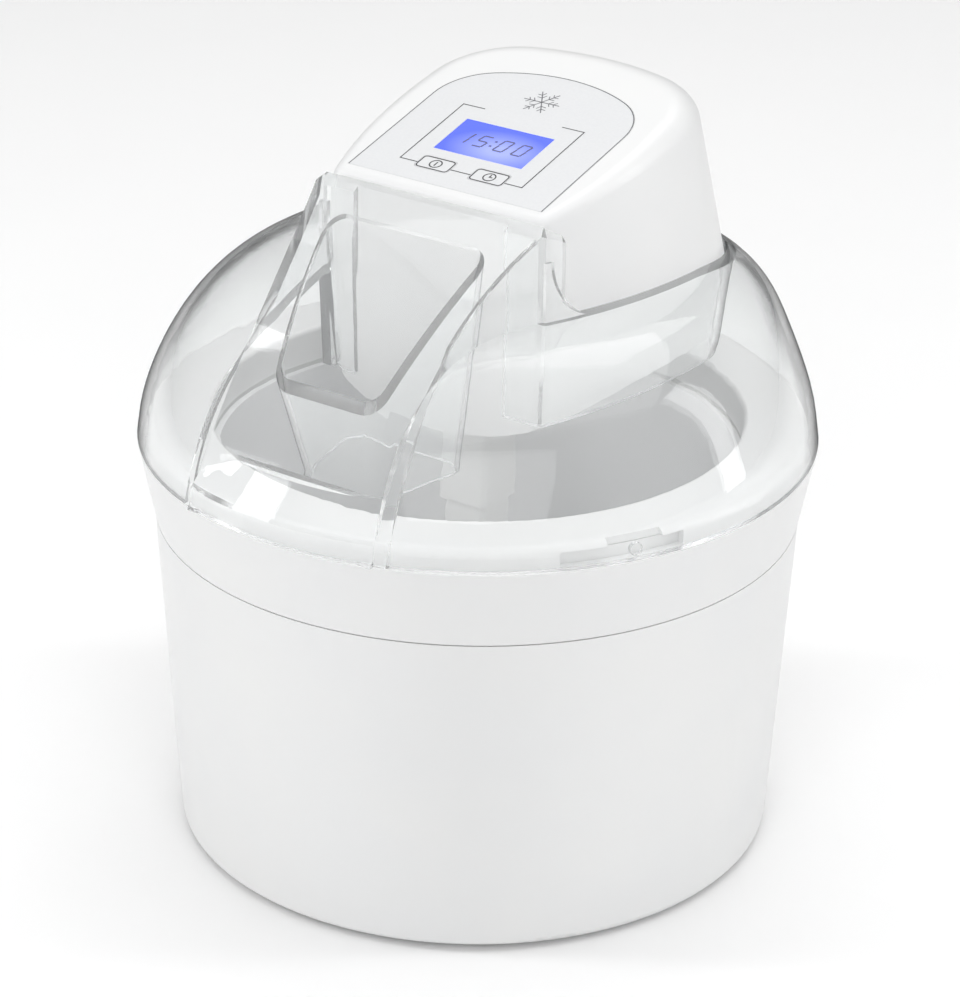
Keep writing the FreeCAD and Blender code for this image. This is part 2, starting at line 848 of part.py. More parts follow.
# Lower half of the head: tapered walls, a hull-shaped floor, posts for pins and screws, and the shaft boss
lower_outer = loft("lower_outer", keel_outline("lower_keel", 0), split_outline("lower_split", 0))
lower_round = rounded("lower_round", lower_outer, S.head_corner, front_corner)
hull = doc.addObject("Part::Cylinder", "hull")
hull.Placement = FreeCAD.Placement(V(0, 0, 0), FreeCAD.Rotation(V(1, 0, 0), -90))
bind(hull, "Radius", S.hull_radius)
bind(hull, "Height", 4 * S.split_side_half)
place(hull, 0, -2 * S.split_side_half, S.hull_bottom + S.hull_radius)
lower_solid = common("lower_solid", lower_round, hull)
hull_inside = doc.addObject("Part::Cylinder", "hull_inside")
hull_inside.Placement = FreeCAD.Placement(V(0, 0, 0), FreeCAD.Rotation(V(1, 0, 0), -90))
bind(hull_inside, "Radius", S.hull_radius - S.head_wall)
bind(hull_inside, "Height", 4 * S.split_side_half)
place(hull_inside, 0, -2 * S.split_side_half, S.hull_bottom + S.hull_radius)
lower_inner = loft("lower_inner", keel_outline("lower_keel_in", -S.head_wall),
                   split_outline("lower_split_in", -S.head_wall))
lower_shell = cut("lower_shell", lower_solid, common("lower_hollow", lower_inner, hull_inside))
posts = [cylinder("slow_post", S.post_radius, S.keel_z, slow_post_top, *slow_at),
         cylinder("fast_post", S.post_radius, S.keel_z, fast_post_top, *fast_at)]
for number, (x, y) in enumerate(screw_places, start=1):
    posts.append(cylinder("screw_post_%d" % number, screw_post_radius, S.keel_z, plate_z, x, y))
shaft_boss = cylinder("shaft_boss", bush_radius + S.boss_wall, S.boss_foot_z, S.boss_top_z)
lower_bores = [cylinder("boss_bore", bush_seat, S.boss_foot_z, S.boss_top_z),
               cylinder("slow_pin_bore", pin_seat, slow_pin_foot, plate_z, *slow_at),
               cylinder("fast_pin_bore", pin_seat, fast_pin_foot, plate_z, *fast_at)]
for number, (x, y) in enumerate(screw_places, start=1):
    lower_bores.append(cylinder("screw_bore_%d" % number, S.screw_radius + S.screw_clearance,
                                S.keel_z, plate_z, x, y))
    lower_bores.append(cylinder("screw_sink_%d" % number, S.screw_head_radius + S.screw_clearance,
                                S.keel_z, S.screw_seat_z, x, y))
standing_posts = common("standing_posts", fuse("posts", *posts), lower_solid)
lower_with_posts = fuse("lower_with_posts", lower_shell, standing_posts, shaft_boss)
head_lower = cut("head_lower", lower_with_posts, *lower_bores)
keep(head_lower, "head_lower_shell")

# Upper half of the head: tapered walls under a sloping top, with the openings of the panel
upper_outer = loft("upper_outer", split_outline("upper_split", 0), crown_outline("upper_crown", 0))
upper_round = rounded("upper_round", upper_outer, S.head_corner, front_corner)
above_panel = panel_body("above_panel")
reach = 3 * S.split_side_half
pad(above_panel, "above_panel_block", 0, reach, [(rectangle(-reach, reach, -reach, reach), None)])
upper_sloped = cut("upper_sloped", upper_round, above_panel)


def on_panel(edge):
    """True for the edges round the head's sloping top."""
    return abs(panel_height(edge_middle(edge))) < TOUCHING


def under_panel(edge):
    """True for the edges round the sloping ceiling inside the head."""
    return abs(panel_height(edge_middle(edge)) + S.top_wall.value) < TOUCHING


def panel_height(point):
    """How far a point stands above the sloping top."""
    tilt = math.radians(S.panel_tilt.value)
    return (point.z - S.panel_z.value) * math.cos(tilt) - (point.y - S.panel_y.value) * math.sin(tilt)


def top_round_at(point):
    """The rounding of the head's top edge: small at the front, larger along the sides, full at the back."""
    if point.y < S.crown_shoulder_y.value / 2:
        return S.top_round_front.value
    if point.y < (S.crown_shoulder_y + S.crown_back_y).value / 2:
        return S.top_round_side.value
    return S.top_round_back.value


def ceiling_round_at(point):
    """The rounding inside the head's top edge, one wall in from the outer one."""
    return top_round_at(point) - S.head_wall.value


upper_solid = rounded_by_place("upper_solid", upper_sloped, top_round_at, on_panel)
upper_inner = loft("upper_inner", split_outline("upper_split_in", -S.head_wall),
                   crown_outline("upper_crown_in", -S.head_wall))
under_top = panel_body("under_top")
pad(under_top, "under_top_block", -S.top_wall, reach, [(rectangle(-reach, reach, -reach, reach), None)])
upper_hollow = rounded_by_place("upper_hollow", cut("upper_hollow_sharp", upper_inner, under_top),
                                ceiling_round_at, under_panel)
upper_shell = cut("upper_shell", upper_solid, upper_hollow)
upper_posts = [cylinder("upper_post_%d" % number, screw_post_radius, plate_top, S.crown_z, x, y)
               for number, (x, y) in enumerate(screw_places, start=1)]
upper_standing = common("upper_standing", fuse("upper_posts", *upper_posts), upper_solid)
screw_top = S.screw_seat_z + S.screw_length
upper_bores = [cylinder("upper_bore_%d" % number, S.screw_radius + S.screw_clearance, plate_top,
                        screw_top + S.gear_gap, x, y) for number, (x, y) in enumerate(screw_places, start=1)]


def overlay_outline(grow):
    """Corner points and arcs of the panel face, an arch of three arcs over straight sides."""
    half = S.overlay_half + grow
    front = S.overlay_front - grow
    points, centres = arch(half, S.overlay_shoulder, S.overlay_corner + grow, S.overlay_apex + grow)
    arcs = {row: (middle, "left") for row, middle in enumerate(centres, start=2)}
    return [(-half, front), (half, front)] + points, arcs


def window_outline(grow):
    """Corner points of the display window."""
    half = S.window_width / 2 + grow
    return rectangle(-half, half, -grow, S.window_height + grow), None


def key_outline(x, grow):
    """Corner points and arcs of one key."""
    return oblong(S.key_width / 2 + grow, S.key_height / 2 + grow, S.key_round, x, S.key_y)


panel_openings = panel_body("panel_openings")
pad(panel_openings, "overlay_recess", -S.overlay_thick, S.top_wall, [overlay_outline(S.panel_clearance)])
pad(panel_openings, "through_openings", -2 * S.top_wall, 2 * S.top_wall, [
    window_outline(-S.window_ledge),
    key_outline(-S.key_x, S.panel_clearance),
    key_outline(S.key_x, S.panel_clearance),
])

# Cord inlet through the rear wall, square to its slope
rear_slope = (S.split_back_y - S.crown_back_y) / (S.crown_z - S.split_z)
gland_y = S.split_back_y - rear_slope * (S.gland_z - S.split_z)
gland_lean = math.degrees(math.atan(rear_slope.value)) - 90


def rear_wall_body(name, points):
    """A turned body whose axis stands square on the rear wall."""
    body = turned(name, points)
    body.Placement = FreeCAD.Placement(V(0, 0, 0), FreeCAD.Rotation(V(1, 0, 0), gland_lean))
    return place(body, 0, gland_y, S.gland_z)


gland_hole = rear_wall_body("gland_hole", rectangle(0, S.gland_radius + S.gland_clearance,
                                                     -2 * S.head_wall, 2 * S.head_wall))
gland_inner_z = -(S.head_wall + S.gland_flange_thick + S.gland_clearance)
gland = rear_wall_body("gland", [
    (S.gland_bore, gland_inner_z),
    (S.gland_flange_radius, gland_inner_z),
    (S.gland_flange_radius, -(S.head_wall + S.gland_clearance + S.seat_gap)),
    (S.gland_radius, -(S.head_wall + S.gland_clearance + S.seat_gap)),
    (S.gland_radius, S.seat_gap),
    (S.gland_flange_radius, S.seat_gap),
    (S.gland_flange_radius, S.gland_flange_thick),
    (S.gland_bore, 2 * S.gland_flange_thick),
])
keep(gland, "cord_gland")
upper_with_posts = fuse("upper_with_posts", upper_shell, upper_standing)
head_upper = cut("head_upper", upper_with_posts, panel_openings, gland_hole, *upper_bores)
keep(head_upper, "head_upper_shell")

# Control panel: face, window, display, board, keys and switches
overlay = panel_body("overlay")
pad(overlay, "overlay_face", -S.overlay_thick, S.overlay_thick, [
    overlay_outline(0),
    window_outline(S.panel_clearance),
    key_outline(-S.key_x, S.panel_clearance),
    key_outline(S.key_x, S.panel_clearance),
])
keep(overlay, "panel_overlay")
window = panel_body("window")
pad(window, "window_pane", -S.overlay_thick, S.overlay_thick, [window_outline(0)])
keep(window, "lcd_window")
board_top = -(S.top_wall + S.module_thick)
display = panel_body("display")
display_low = S.window_height / 2 - S.module_height / 2
pad(display, "display_block", board_top, S.module_thick, [
    (rectangle(-S.module_width / 2, S.module_width / 2, display_low + S.key_flange,
               display_low + S.module_height), None)])
keep(display, "lcd_module")
board = panel_body("board")
pad(board, "board_plate", board_top - S.board_thick, S.board_thick, [
    (rectangle(-S.board_width / 2, S.board_width / 2, S.board_front, S.board_front + S.board_height), None)])
keep(board, "control_board")
flange_under = -(S.top_wall + S.seat_gap + S.key_flange_thick)
for label, side in (("start_button", -1), ("timer_button", 1)):
    key = panel_body(label + "_body")
    key_x = side * S.key_x
    pad(key, label + "_cap", flange_under, -flange_under, [key_outline(key_x, 0)])
    pad(key, label + "_flange", flange_under, S.key_flange_thick, [key_outline(key_x, S.key_flange / 2)])
    pad(key, label + "_stem", flange_under - S.key_stem, S.key_stem,
        circles=[(key_x, S.key_y, S.key_stem_radius)])
    keep(key, label)
switch_top = flange_under - S.key_stem - S.key_travel - S.panel_clearance
switches = []
for number, side in enumerate((-1, 1), start=1):
    switch = panel_body("switch_%d" % number)
    half = S.switch_size / 2
    pad(switch, "switch_%d_case" % number, board_top, switch_top - board_top, [
        (rectangle(side * S.key_x - half, side * S.key_x + half, S.key_y - half, S.key_y + half), None)])
    switches.append(switch)
keep(group("switches", switches), "tact_switches")

# Gear plate: closes the gear space and carries the motor, the upper bush and the supply board
plate_share = (plate_z - S.keel_z) / (S.split_z - S.keel_z)
plate_plan = [low + plate_share * (high - low) for low, high in zip(KEEL_PLAN, SPLIT_PLAN)]
plate_sketch = head_outline("plate_outline", plate_plan, plate_z, -(S.head_wall + S.plate_clearance))
supply_z = plate_top + S.supply_lift
supply_legs = [cylinder("supply_leg_%d" % number, S.hub_radius, plate_top, supply_z,
                        S.supply_x + side * S.supply_width / 3, S.supply_y + end * S.supply_depth / 3)
               for number, (side, end) in enumerate(((-1, -1), (1, -1), (-1, 1), (1, 1)), start=1)]
plate_bores = [cylinder("plate_shaft_bore", bush_seat, plate_z, plate_top),
               cylinder("plate_slow_bore", pin_seat, plate_z, plate_top, *slow_at),
               cylinder("plate_fast_bore", pin_seat, plate_z, plate_top, *fast_at),
               cylinder("plate_motor_bore", S.motor_nose_radius + S.screw_clearance, plate_z, plate_top,
                        *motor_at)]
motor_screw_places = [(motor_at[0] + side * S.motor_screw_spread, motor_at[1]) for side in (-1, 1)]
for number, (x, y) in enumerate(motor_screw_places, start=1):
    plate_bores.append(cylinder("plate_motor_screw_%d" % number, S.motor_screw_radius + S.screw_clearance,
                                plate_z, plate_top, x, y))
for number, (x, y) in enumerate(screw_places, start=1):
    plate_bores.append(cylinder("plate_screw_%d" % number, S.screw_radius + S.screw_clearance,
                                plate_z, plate_top, x, y))
plate_blank = extrude("plate_blank", plate_sketch, S.plate_thick)
plate = cut("plate", fuse("plate_with_legs", plate_blank, *supply_legs), *plate_bores)
keep(plate, "gear_plate")
supply_board = box("supply_board", S.supply_x - S.supply_width / 2, S.supply_x + S.supply_width / 2,
                   S.supply_y - S.supply_depth / 2, S.supply_y + S.supply_depth / 2,
                   supply_z, supply_z + S.board_thick)
supply_coil = box("supply_coil", S.supply_x - S.coil_width / 2, S.supply_x + S.coil_width / 2,
                  S.supply_y - S.coil_width / 2, S.supply_y + S.coil_width / 2,
                  supply_z + S.board_thick, supply_z + S.board_thick + S.coil_height)
keep(fuse("supply", supply_board, supply_coil), "power_board")

# Motor, with its nose in the plate
motor_can = cylinder("motor_can", S.motor_radius, plate_top, plate_top + S.motor_height, *motor_at)
motor_nose = cylinder("motor_nose", S.motor_nose_radius, plate_z, plate_top, *motor_at)
motor_cap = cylinder("motor_cap", S.motor_nose_radius, plate_top + S.motor_height,
                     plate_top + S.motor_height + S.plate_thick, *motor_at)
motor_bores = [cylinder("motor_shaft_bore", S.motor_shaft_radius + S.shaft_clearance, plate_z,
                        plate_top + S.motor_shaft_depth, *motor_at)]
for number, (x, y) in enumerate(motor_screw_places, start=1):
    motor_bores.append(cylinder("motor_thread_%d" % number, S.motor_screw_radius + S.screw_clearance,
                                plate_top, plate_z + S.motor_screw_length + S.gear_gap, x, y))
keep(cut("motor_body", fuse("motor_block", motor_can, motor_nose, motor_cap), *motor_bores), "motor")
motor_screws = []
for number, (x, y) in enumerate(motor_screw_places, start=1):
    motor_screws.append(fuse(
        "motor_screw_%d" % number,
        cylinder("motor_screw_head_%d" % number, S.motor_screw_head, plate_z - S.gear_gap, plate_z, x, y),
        cylinder("motor_screw_shank_%d" % number, S.motor_screw_radius, plate_z,
                 plate_z + S.motor_screw_length, x, y)))
keep(group("motor_screw_set", motor_screws), "motor_screws")
housing_screws = []
for number, (x, y) in enumerate(screw_places, start=1):
    housing_screws.append(fuse(
        "housing_screw_%d" % number,
        cylinder("housing_screw_head_%d" % number, S.screw_head_radius, S.screw_seat_z - S.screw_head_height,
                 S.screw_seat_z, x, y),
        cylinder("housing_screw_shank_%d" % number, S.screw_radius, S.screw_seat_z, screw_top, x, y)))
keep(group("housing_screw_set", housing_screws), "housing_screws")

# Gears: teeth with involute flanks, drawn from the base circle to the tip


def gear_face(teeth, module, middle, z, phase):
    """The toothed outline of one gear as a level face."""
    count = int(round(teeth.value))
    pitch = module.value * count / 2
    slope = math.radians(S.pressure_angle.value)
    base = pitch * math.cos(slope)
    tip = pitch + S.tooth_addendum.value * module.value
    floor = pitch - S.tooth_dedendum.value * module.value
    half_tooth = (math.pi * module.value / 2 - S.backlash.value) / (2 * pitch)
    start = max(base, floor)

    def half_angle(radius):
        """Half the tooth's angle at a radius on its involute."""
        pressure = math.acos(min(1, base / radius))
        return half_tooth + (math.tan(slope) - slope) - (math.tan(pressure) - pressure)

    flank = [(radius, half_angle(radius)) for radius in (start, pitch, tip)]
    if start > floor:
        flank.insert(0, (floor, half_angle(start)))
    points = []
    for tooth in range(count):
        centre = phase + 2 * math.pi * tooth / count
        for radius, angle in flank:
            points.append((radius, centre - angle))
        for radius, angle in reversed(flank):
            points.append((radius, centre + angle))
    x, y = as_size(middle[0]).value, as_size(middle[1]).value
    corners = [V(x + radius * math.cos(angle), y + radius * math.sin(angle), z.value)
               for radius, angle in points]
    return Part.Face(Part.makePolygon(corners + corners[:1]))


def toothed(teeth, module, middle, z, thick, phase):
    """One toothed wheel as a solid."""
    return gear_face(teeth, module, middle, z, phase).extrude(V(0, 0, thick.value))


def tube(radius, bore, middle, bottom, top):
    """A round hub with a bore."""
    foot = V(as_size(middle[0]).value, as_size(middle[1]).value, bottom.value)
    outer = Part.makeCylinder(radius.value, (top - bottom).value, foot)
    return outer.cut(Part.makeCylinder(bore.value, (top - bottom).value, foot))


def gear_piece(label, solid):
    """Keeps a toothed solid as a finished piece."""
    item = doc.addObject("Part::Feature", label + "_solid")
    item.Shape = solid
    return keep(item, label)


def bored(solid, bore, middle, bottom, top):
    """A solid with a bore down one axis."""
    foot = V(as_size(middle[0]).value, as_size(middle[1]).value, bottom.value)
    return solid.cut(Part.makeCylinder(bore.value, (top - bottom).value, foot))


QUARTER = math.pi / 2
pin_bore = S.pin_radius + S.pin_clearance
pinion_pitch = math.pi / S.pinion_teeth.value
output_phase = QUARTER
slow_pinion_phase = -QUARTER + pinion_pitch
slow_wheel_phase = 0
fast_pinion_phase = math.pi + pinion_pitch
fast_wheel_phase = QUARTER
motor_pinion_phase = -QUARTER + pinion_pitch

output_wheel = toothed(S.output_teeth, S.output_module, (0, 0), S.output_gear_z, S.output_gear_thick,
                       output_phase)
output_bore = S.shaft_radius + S.press_clearance
gear_piece("output_gear", bored(output_wheel, output_bore, (0, 0), S.output_gear_z, output_top))

slow_foot = slow_post_top + S.hub_gap
slow_pinion = toothed(S.pinion_teeth, S.output_module, slow_at, S.output_gear_z - S.pinion_overlap / 2,
                      slow_wheel_z - S.output_gear_z + S.pinion_overlap / 2, slow_pinion_phase)
slow_wheel = toothed(S.slow_wheel_teeth, S.slow_module, slow_at, slow_wheel_z, S.slow_wheel_thick,
                     slow_wheel_phase)
slow_hub = tube(S.hub_radius, pin_bore, slow_at, slow_foot, plate_z - S.hub_gap)
slow_gear = bored(slow_pinion.fuse([slow_wheel, slow_hub]), pin_bore, slow_at, slow_foot, plate_z)
gear_piece("idler_gear_slow", slow_gear.removeSplitter())

fast_foot = fast_post_top + S.hub_gap
fast_pinion = toothed(S.pinion_teeth, S.slow_module, fast_at, slow_wheel_z - S.pinion_overlap / 2,
                      fast_wheel_z - slow_wheel_z + S.pinion_overlap / 2, fast_pinion_phase)
fast_wheel = toothed(S.fast_wheel_teeth, S.fast_module, fast_at, fast_wheel_z, S.fast_wheel_thick,
                     fast_wheel_phase)
fast_hub = tube(S.hub_radius, pin_bore, fast_at, fast_foot, plate_z - S.hub_gap)
fast_gear = bored(fast_pinion.fuse([fast_wheel, fast_hub]), pin_bore, fast_at, fast_foot, plate_z)
gear_piece("idler_gear_fast", fast_gear.removeSplitter())

motor_pinion_z = fast_wheel_z - S.pinion_overlap / 2
motor_pinion = toothed(S.pinion_teeth, S.fast_module, motor_at, motor_pinion_z,
                       S.fast_wheel_thick + S.pinion_overlap, motor_pinion_phase)
motor_shaft = Part.makeCylinder(S.motor_shaft_radius.value,
                                (plate_top + S.motor_shaft_depth - S.gear_gap - motor_pinion_z).value,
                                V(motor_at[0].value, motor_at[1].value, motor_pinion_z.value))
gear_piece("motor_pinion", motor_pinion.fuse(motor_shaft).removeSplitter())
pins = [cylinder("slow_pin", S.pin_radius, slow_pin_foot, plate_top, *slow_at),
        cylinder("fast_pin", S.pin_radius, fast_pin_foot, plate_top, *fast_at)]
keep(group("pins", pins), "idler_pins")

# Output shaft with its square drive, bushes, seal and circlip
shaft_top = plate_top + S.hub_gap
drive_top = S.boss_foot_z - S.seat_gap
drive_foot = drive_top - S.drive_length
groove_foot = S.boss_top_z + S.hub_gap
groove_top = groove_foot + S.circlip_thick
groove_radius = S.shaft_radius - S.circlip_depth
shaft = turned("shaft", [
    (0, drive_top),
    (S.shaft_radius, drive_top),
    (S.shaft_radius, groove_foot - S.shaft_clearance),
    (groove_radius, groove_foot - S.shaft_clearance),
    (groove_radius, groove_top + S.shaft_clearance),
    (S.shaft_radius, groove_top + S.shaft_clearance),
    (S.shaft_radius, shaft_top),
    (0, shaft_top),
])
half_square = S.drive_square / 2
drive_outline = rectangle(-half_square, half_square, -half_square, half_square)
pad(shaft, "drive_end", drive_foot, S.drive_length, [(drive_outline, None)])
keep(shaft, "output_shaft")
shaft_bore = S.shaft_radius + S.shaft_clearance
seal_foot = S.boss_foot_z + S.seal_recess
bush_foot = seal_foot + S.seal_thick + S.seal_recess
lower_bush = turned("lower_bush_body", rectangle(shaft_bore, bush_radius, bush_foot, S.boss_top_z))
keep(lower_bush, "lower_bush")
upper_bush = turned("upper_bush_body", rectangle(shaft_bore, bush_radius, plate_z, plate_top))
keep(upper_bush, "upper_bush")
shaft_seal = turned("shaft_seal_body",
                    rectangle(shaft_bore, bush_radius, seal_foot, seal_foot + S.seal_thick))
keep(shaft_seal, "shaft_seal")
circlip = turned("circlip_body", rectangle(groove_radius + S.shaft_clearance, groove_radius + S.circlip_width,
                                           groove_foot, groove_top), angle=360 - S.circlip_opening)
keep(circlip, "shaft_circlip")

# Lid: a leaning dome with a sloping hood let into its front, closed by a rim skirt
lid_foot_z = S.ledge_height + S.seat_gap
rim_top_z = lid_foot_z + S.skirt_height
dome_rows = [
    (S.skirt_height, S.dome_radius_rim, 0),
    (S.dome_height_low, S.dome_radius_low, S.dome_lean_low),
    (S.dome_height_middle, S.dome_radius_middle, S.dome_lean_middle),
    (S.dome_height_high, S.dome_radius_high, S.dome_lean_high),
    (S.dome_height_shoulder, S.dome_radius_shoulder, S.dome_lean_shoulder),
    (S.dome_height_crest, S.dome_radius_crest, S.dome_lean_crest),
    (S.dome_height_top, S.dome_radius_top, S.dome_lean_top),
]


def dome(name, wall, foot):
    """The dome as a solid on its conical rim, drawn in by a wall all round."""
    wide_share = (S.dome_radius_rim - wall) / S.dome_radius_rim
    tall = S.dome_height_top - S.skirt_height
    tall_share = (tall - wall) / tall
    rings = []
    for number, (rise, radius, lean) in enumerate(dome_rows, start=1):
        ring = doc.addObject("Part::Circle", "%s_ring_%d" % (name, number))
        bind(ring, "Radius", radius * wide_share)
        rings.append(place(ring, 0, lean, rim_top_z + (rise - S.skirt_height) * tall_share))
    rim = turned(name + "_rim", [
        (0, foot),
        (S.band_radius - wall, foot),
        (S.dome_radius_rim - wall, rim_top_z),
        (0, rim_top_z),
    ])
    return fuse(name, rim, loft(name + "_loft", *rings))


hood_back = (S.hood_back_half, S.hood_back_y)
hood_front = (S.hood_front_half, S.hood_front_y)
hood_waist = centre_on_level(hood_front, hood_back, S.hood_waist_y)


def hood_half(y, wall):
    """Half the hood's width at a place along it, drawn in by a wall."""
    across = hood_back[0] - hood_waist[0]
    along = hood_back[1] - hood_waist[1]
    sweep = root(across * across + along * along) + wall
    step = y - hood_waist[1]
    return hood_waist[0] - root(sweep * sweep - step * step)


def hood_plan(name, foot, top):
    """The upright block that bounds the hood in plan."""
    sketch = level_sketch(name + "_plan", foot)
    points = [(-hood_back[0], hood_back[1]), (-hood_front[0], hood_front[1]), hood_front, hood_back]
    draw_outline(sketch, points, {0: ((-hood_waist[0], hood_waist[1]), "right"), 2: (hood_waist, "right")})
    return extrude(name, sketch, top - foot)


def hood_room_plan(name, foot, top):
    """The block that bounds the room under the hood: inside its sides above the dome, outside them below."""
    right = [
        (S.hood_front_half + S.lid_wall, S.hood_front_y),
        (hood_half(S.hood_sunk_y, -S.lid_wall), S.hood_sunk_y),
        (hood_half(S.hood_raised_y, S.lid_wall), S.hood_raised_y),
        (hood_half(S.hood_back_y, S.lid_wall), S.hood_back_y),
    ]
    left = [(-x, y) for x, y in reversed(right)]
    sketch = level_sketch(name + "_plan", foot)
    draw_outline(sketch, right + left, {
        2: (hood_waist, "right"),
        4: ((-hood_waist[0], hood_waist[1]), "right"),
    })
    return extrude(name, sketch, top - foot)


def roll(name, radius, y, z):
    """A cylinder that lies across the whole lid."""
    item = doc.addObject("Part::Cylinder", name)
    item.Placement = FreeCAD.Placement(V(0, 0, 0), FreeCAD.Rotation(V(0, 1, 0), 90))
    bind(item, "Radius", radius)
    bind(item, "Height", 2 * S.band_radius)
    return place(item, -S.band_radius, y, z)


def hood_roll(name, wall):
    """The cylinder whose surface is the hood's, drawn in by a wall."""
    return roll(name, S.hood_radius - wall, S.hood_axis_y, S.hood_axis_z)


def skirt(name, wall, foot):
    """The rim skirt as a solid: an upright ring below a flare that meets the hood's foot."""
    radius = S.band_radius - wall
    return turned(name, [
        (0, foot),
        (radius, foot),
        (radius, lid_foot_z + S.skirt_height),
        (radius - S.skirt_flare, lid_foot_z + S.skirt_height + S.skirt_flare_height),
        (0, lid_foot_z + S.skirt_height + S.skirt_flare_height),
    ])


lid_limit = S.crown_z
below_lid = lid_foot_z - S.seat_gap
hood_outer = common("hood_outer", hood_roll("hood_roll_out", as_size(0)),
                    hood_plan("hood_plan_out", lid_foot_z, lid_limit))
skirt_front = common("skirt_front", skirt("skirt_outer", as_size(0), lid_foot_z),
                     hood_plan("skirt_plan_out", below_lid, lid_limit))
dome_beside_hood = cut("dome_beside_hood", dome("dome_outer", as_size(0), lid_foot_z),
                       hood_plan("hood_gap", below_lid, lid_limit))
room_beside_hood = cut("room_beside_hood", dome("dome_inner", S.lid_wall, below_lid),
                       hood_room_plan("hood_gap_in", below_lid, lid_limit))
room_under_hood = common("room_under_hood", hood_roll("hood_roll_in", S.lid_wall),
                         hood_room_plan("hood_plan_in", below_lid, lid_limit))
room_in_skirt = common("room_in_skirt", skirt("skirt_inner", S.lid_wall, below_lid),
                       hood_room_plan("skirt_plan_in", below_lid, lid_limit))
lid_room = fuse("lid_room", room_beside_hood, room_under_hood, room_in_skirt)


def head_space(name, grow):
    """The upright room of the head inside the lid, with the head's own taper below its widest plan."""
    low = loft(name + "_low", keel_outline(name + "_keel", grow), split_outline(name + "_split", grow))
    high = extrude(name + "_high", split_outline(name + "_plan", grow), lid_limit - S.split_z)
    return fuse(name, low, high)


well_block = head_space("well_block", S.head_clearance + S.well_wall)
well_trim = [box("well_below", -S.band_radius, S.band_radius, -S.band_radius, S.band_radius,
                 S.keel_z - S.well_wall, S.well_foot_z),
             box("well_front_gap", -S.well_gap, S.well_gap, 3 * S.head_front_y, S.head_front_y / 2,
                 S.keel_z, lid_limit)]
well = cut("well", well_block, *well_trim)

# Cheeks: the well's sides climb in a hollow sweep from the dome to the hood's top
cheek_axis_y = S.head_front_y - S.head_clearance + S.cheek_radius
cheek_axis_z = S.cheek_foot_z + S.cheek_radius
cheek_front = S.head_front_y - S.head_clearance - S.well_wall
cheek_corner = box("cheek_corner", -S.band_radius, S.band_radius, cheek_front, cheek_axis_y,
                   S.split_z, cheek_axis_z)
cheek_sweep = roll("cheek_sweep", S.cheek_radius, cheek_axis_y, cheek_axis_z)
cheek_profile = cut("cheek_profile", cheek_corner, cheek_sweep)
cheeks = common("cheeks", well_block, cheek_profile)
envelope = fuse("lid_envelope", dome_beside_hood, hood_outer, skirt_front, cheeks)


def keystone(front_half, front_y, back_half, back_y, corner):
    """Corner points and arcs of a plan that widens to the back, with round corners."""
    widening = back_half - front_half
    length = back_y - front_y
    side = root(widening * widening + length * length)
    steps = {-1: corner * root((side - widening) / (side + widening)),
             1: corner * root((side + widening) / (side - widening))}
    right = []
    centres = []
    for end, half, y in ((-1, front_half, front_y), (1, back_half, back_y)):
        along = end * steps[end]
        flat = (half - steps[end], y)
        slanted = (half - along * widening / side, y - along * length / side)
        right.extend((flat, slanted) if end < 0 else (slanted, flat))
        centres.append((half - steps[end], y - end * corner))
    points = right + [(-x, y) for x, y in reversed(right)]
    middles = centres + [(-x, y) for x, y in reversed(centres)]
    return points, {2 * row: (middle, "left") for row, middle in enumerate(middles)}


def chute_block(name, wall):
    """The tapered throat of the filling chute, drawn in by a wall."""
    rows = ((S.chute_foot_z, S.chute_foot_back_y, S.chute_foot_back_half, S.chute_foot_front_y,
             S.chute_foot_front_half),
            (S.chute_top_z, S.chute_top_back_y, S.chute_top_back_half, S.chute_top_front_y,
             S.chute_top_front_half))
    sections = []
    for number, (z, back_y, back_half, front_y, front_half) in enumerate(rows, start=1):
        sketch = level_sketch("%s_section_%d" % (name, number), z)
        points, arcs = keystone(front_half - wall, front_y + wall, back_half - wall, back_y - wall,
                                S.chute_round - wall)
        draw_outline(sketch, points, arcs)
        sections.append(sketch)
    return loft(name, *sections)


funnel = chute_block("funnel", as_size(0))
chute_room = chute_block("chute_room", S.chute_wall)
lid_pins = []
for number, half_turn in enumerate((0, 180), start=1):
    pin_from = S.band_radius - S.lid_wall - S.lock_pin_length
    pin = turned("lid_pin_%d" % number,
                 rectangle(0, S.lock_pin_radius, pin_from, S.band_radius - S.lid_wall / 2))
    heading = S.lock_angle.value - 90 + half_turn
    around = FreeCAD.Rotation(V(0, 0, 1), heading)
    pin.Placement = FreeCAD.Placement(V(0, 0, 0), around.multiply(FreeCAD.Rotation(V(0, 1, 0), 90)))
    lid_pins.append(place(pin, 0, 0, lock_z))
lid_shell = cut("lid_shell", envelope, cut("lid_open_room", lid_room, well, funnel, *lid_pins))
lid = cut("lid_body", cut("lid_with_well", lid_shell, head_space("head_room", S.head_clearance)), chute_room)
keep(lid, "lid")

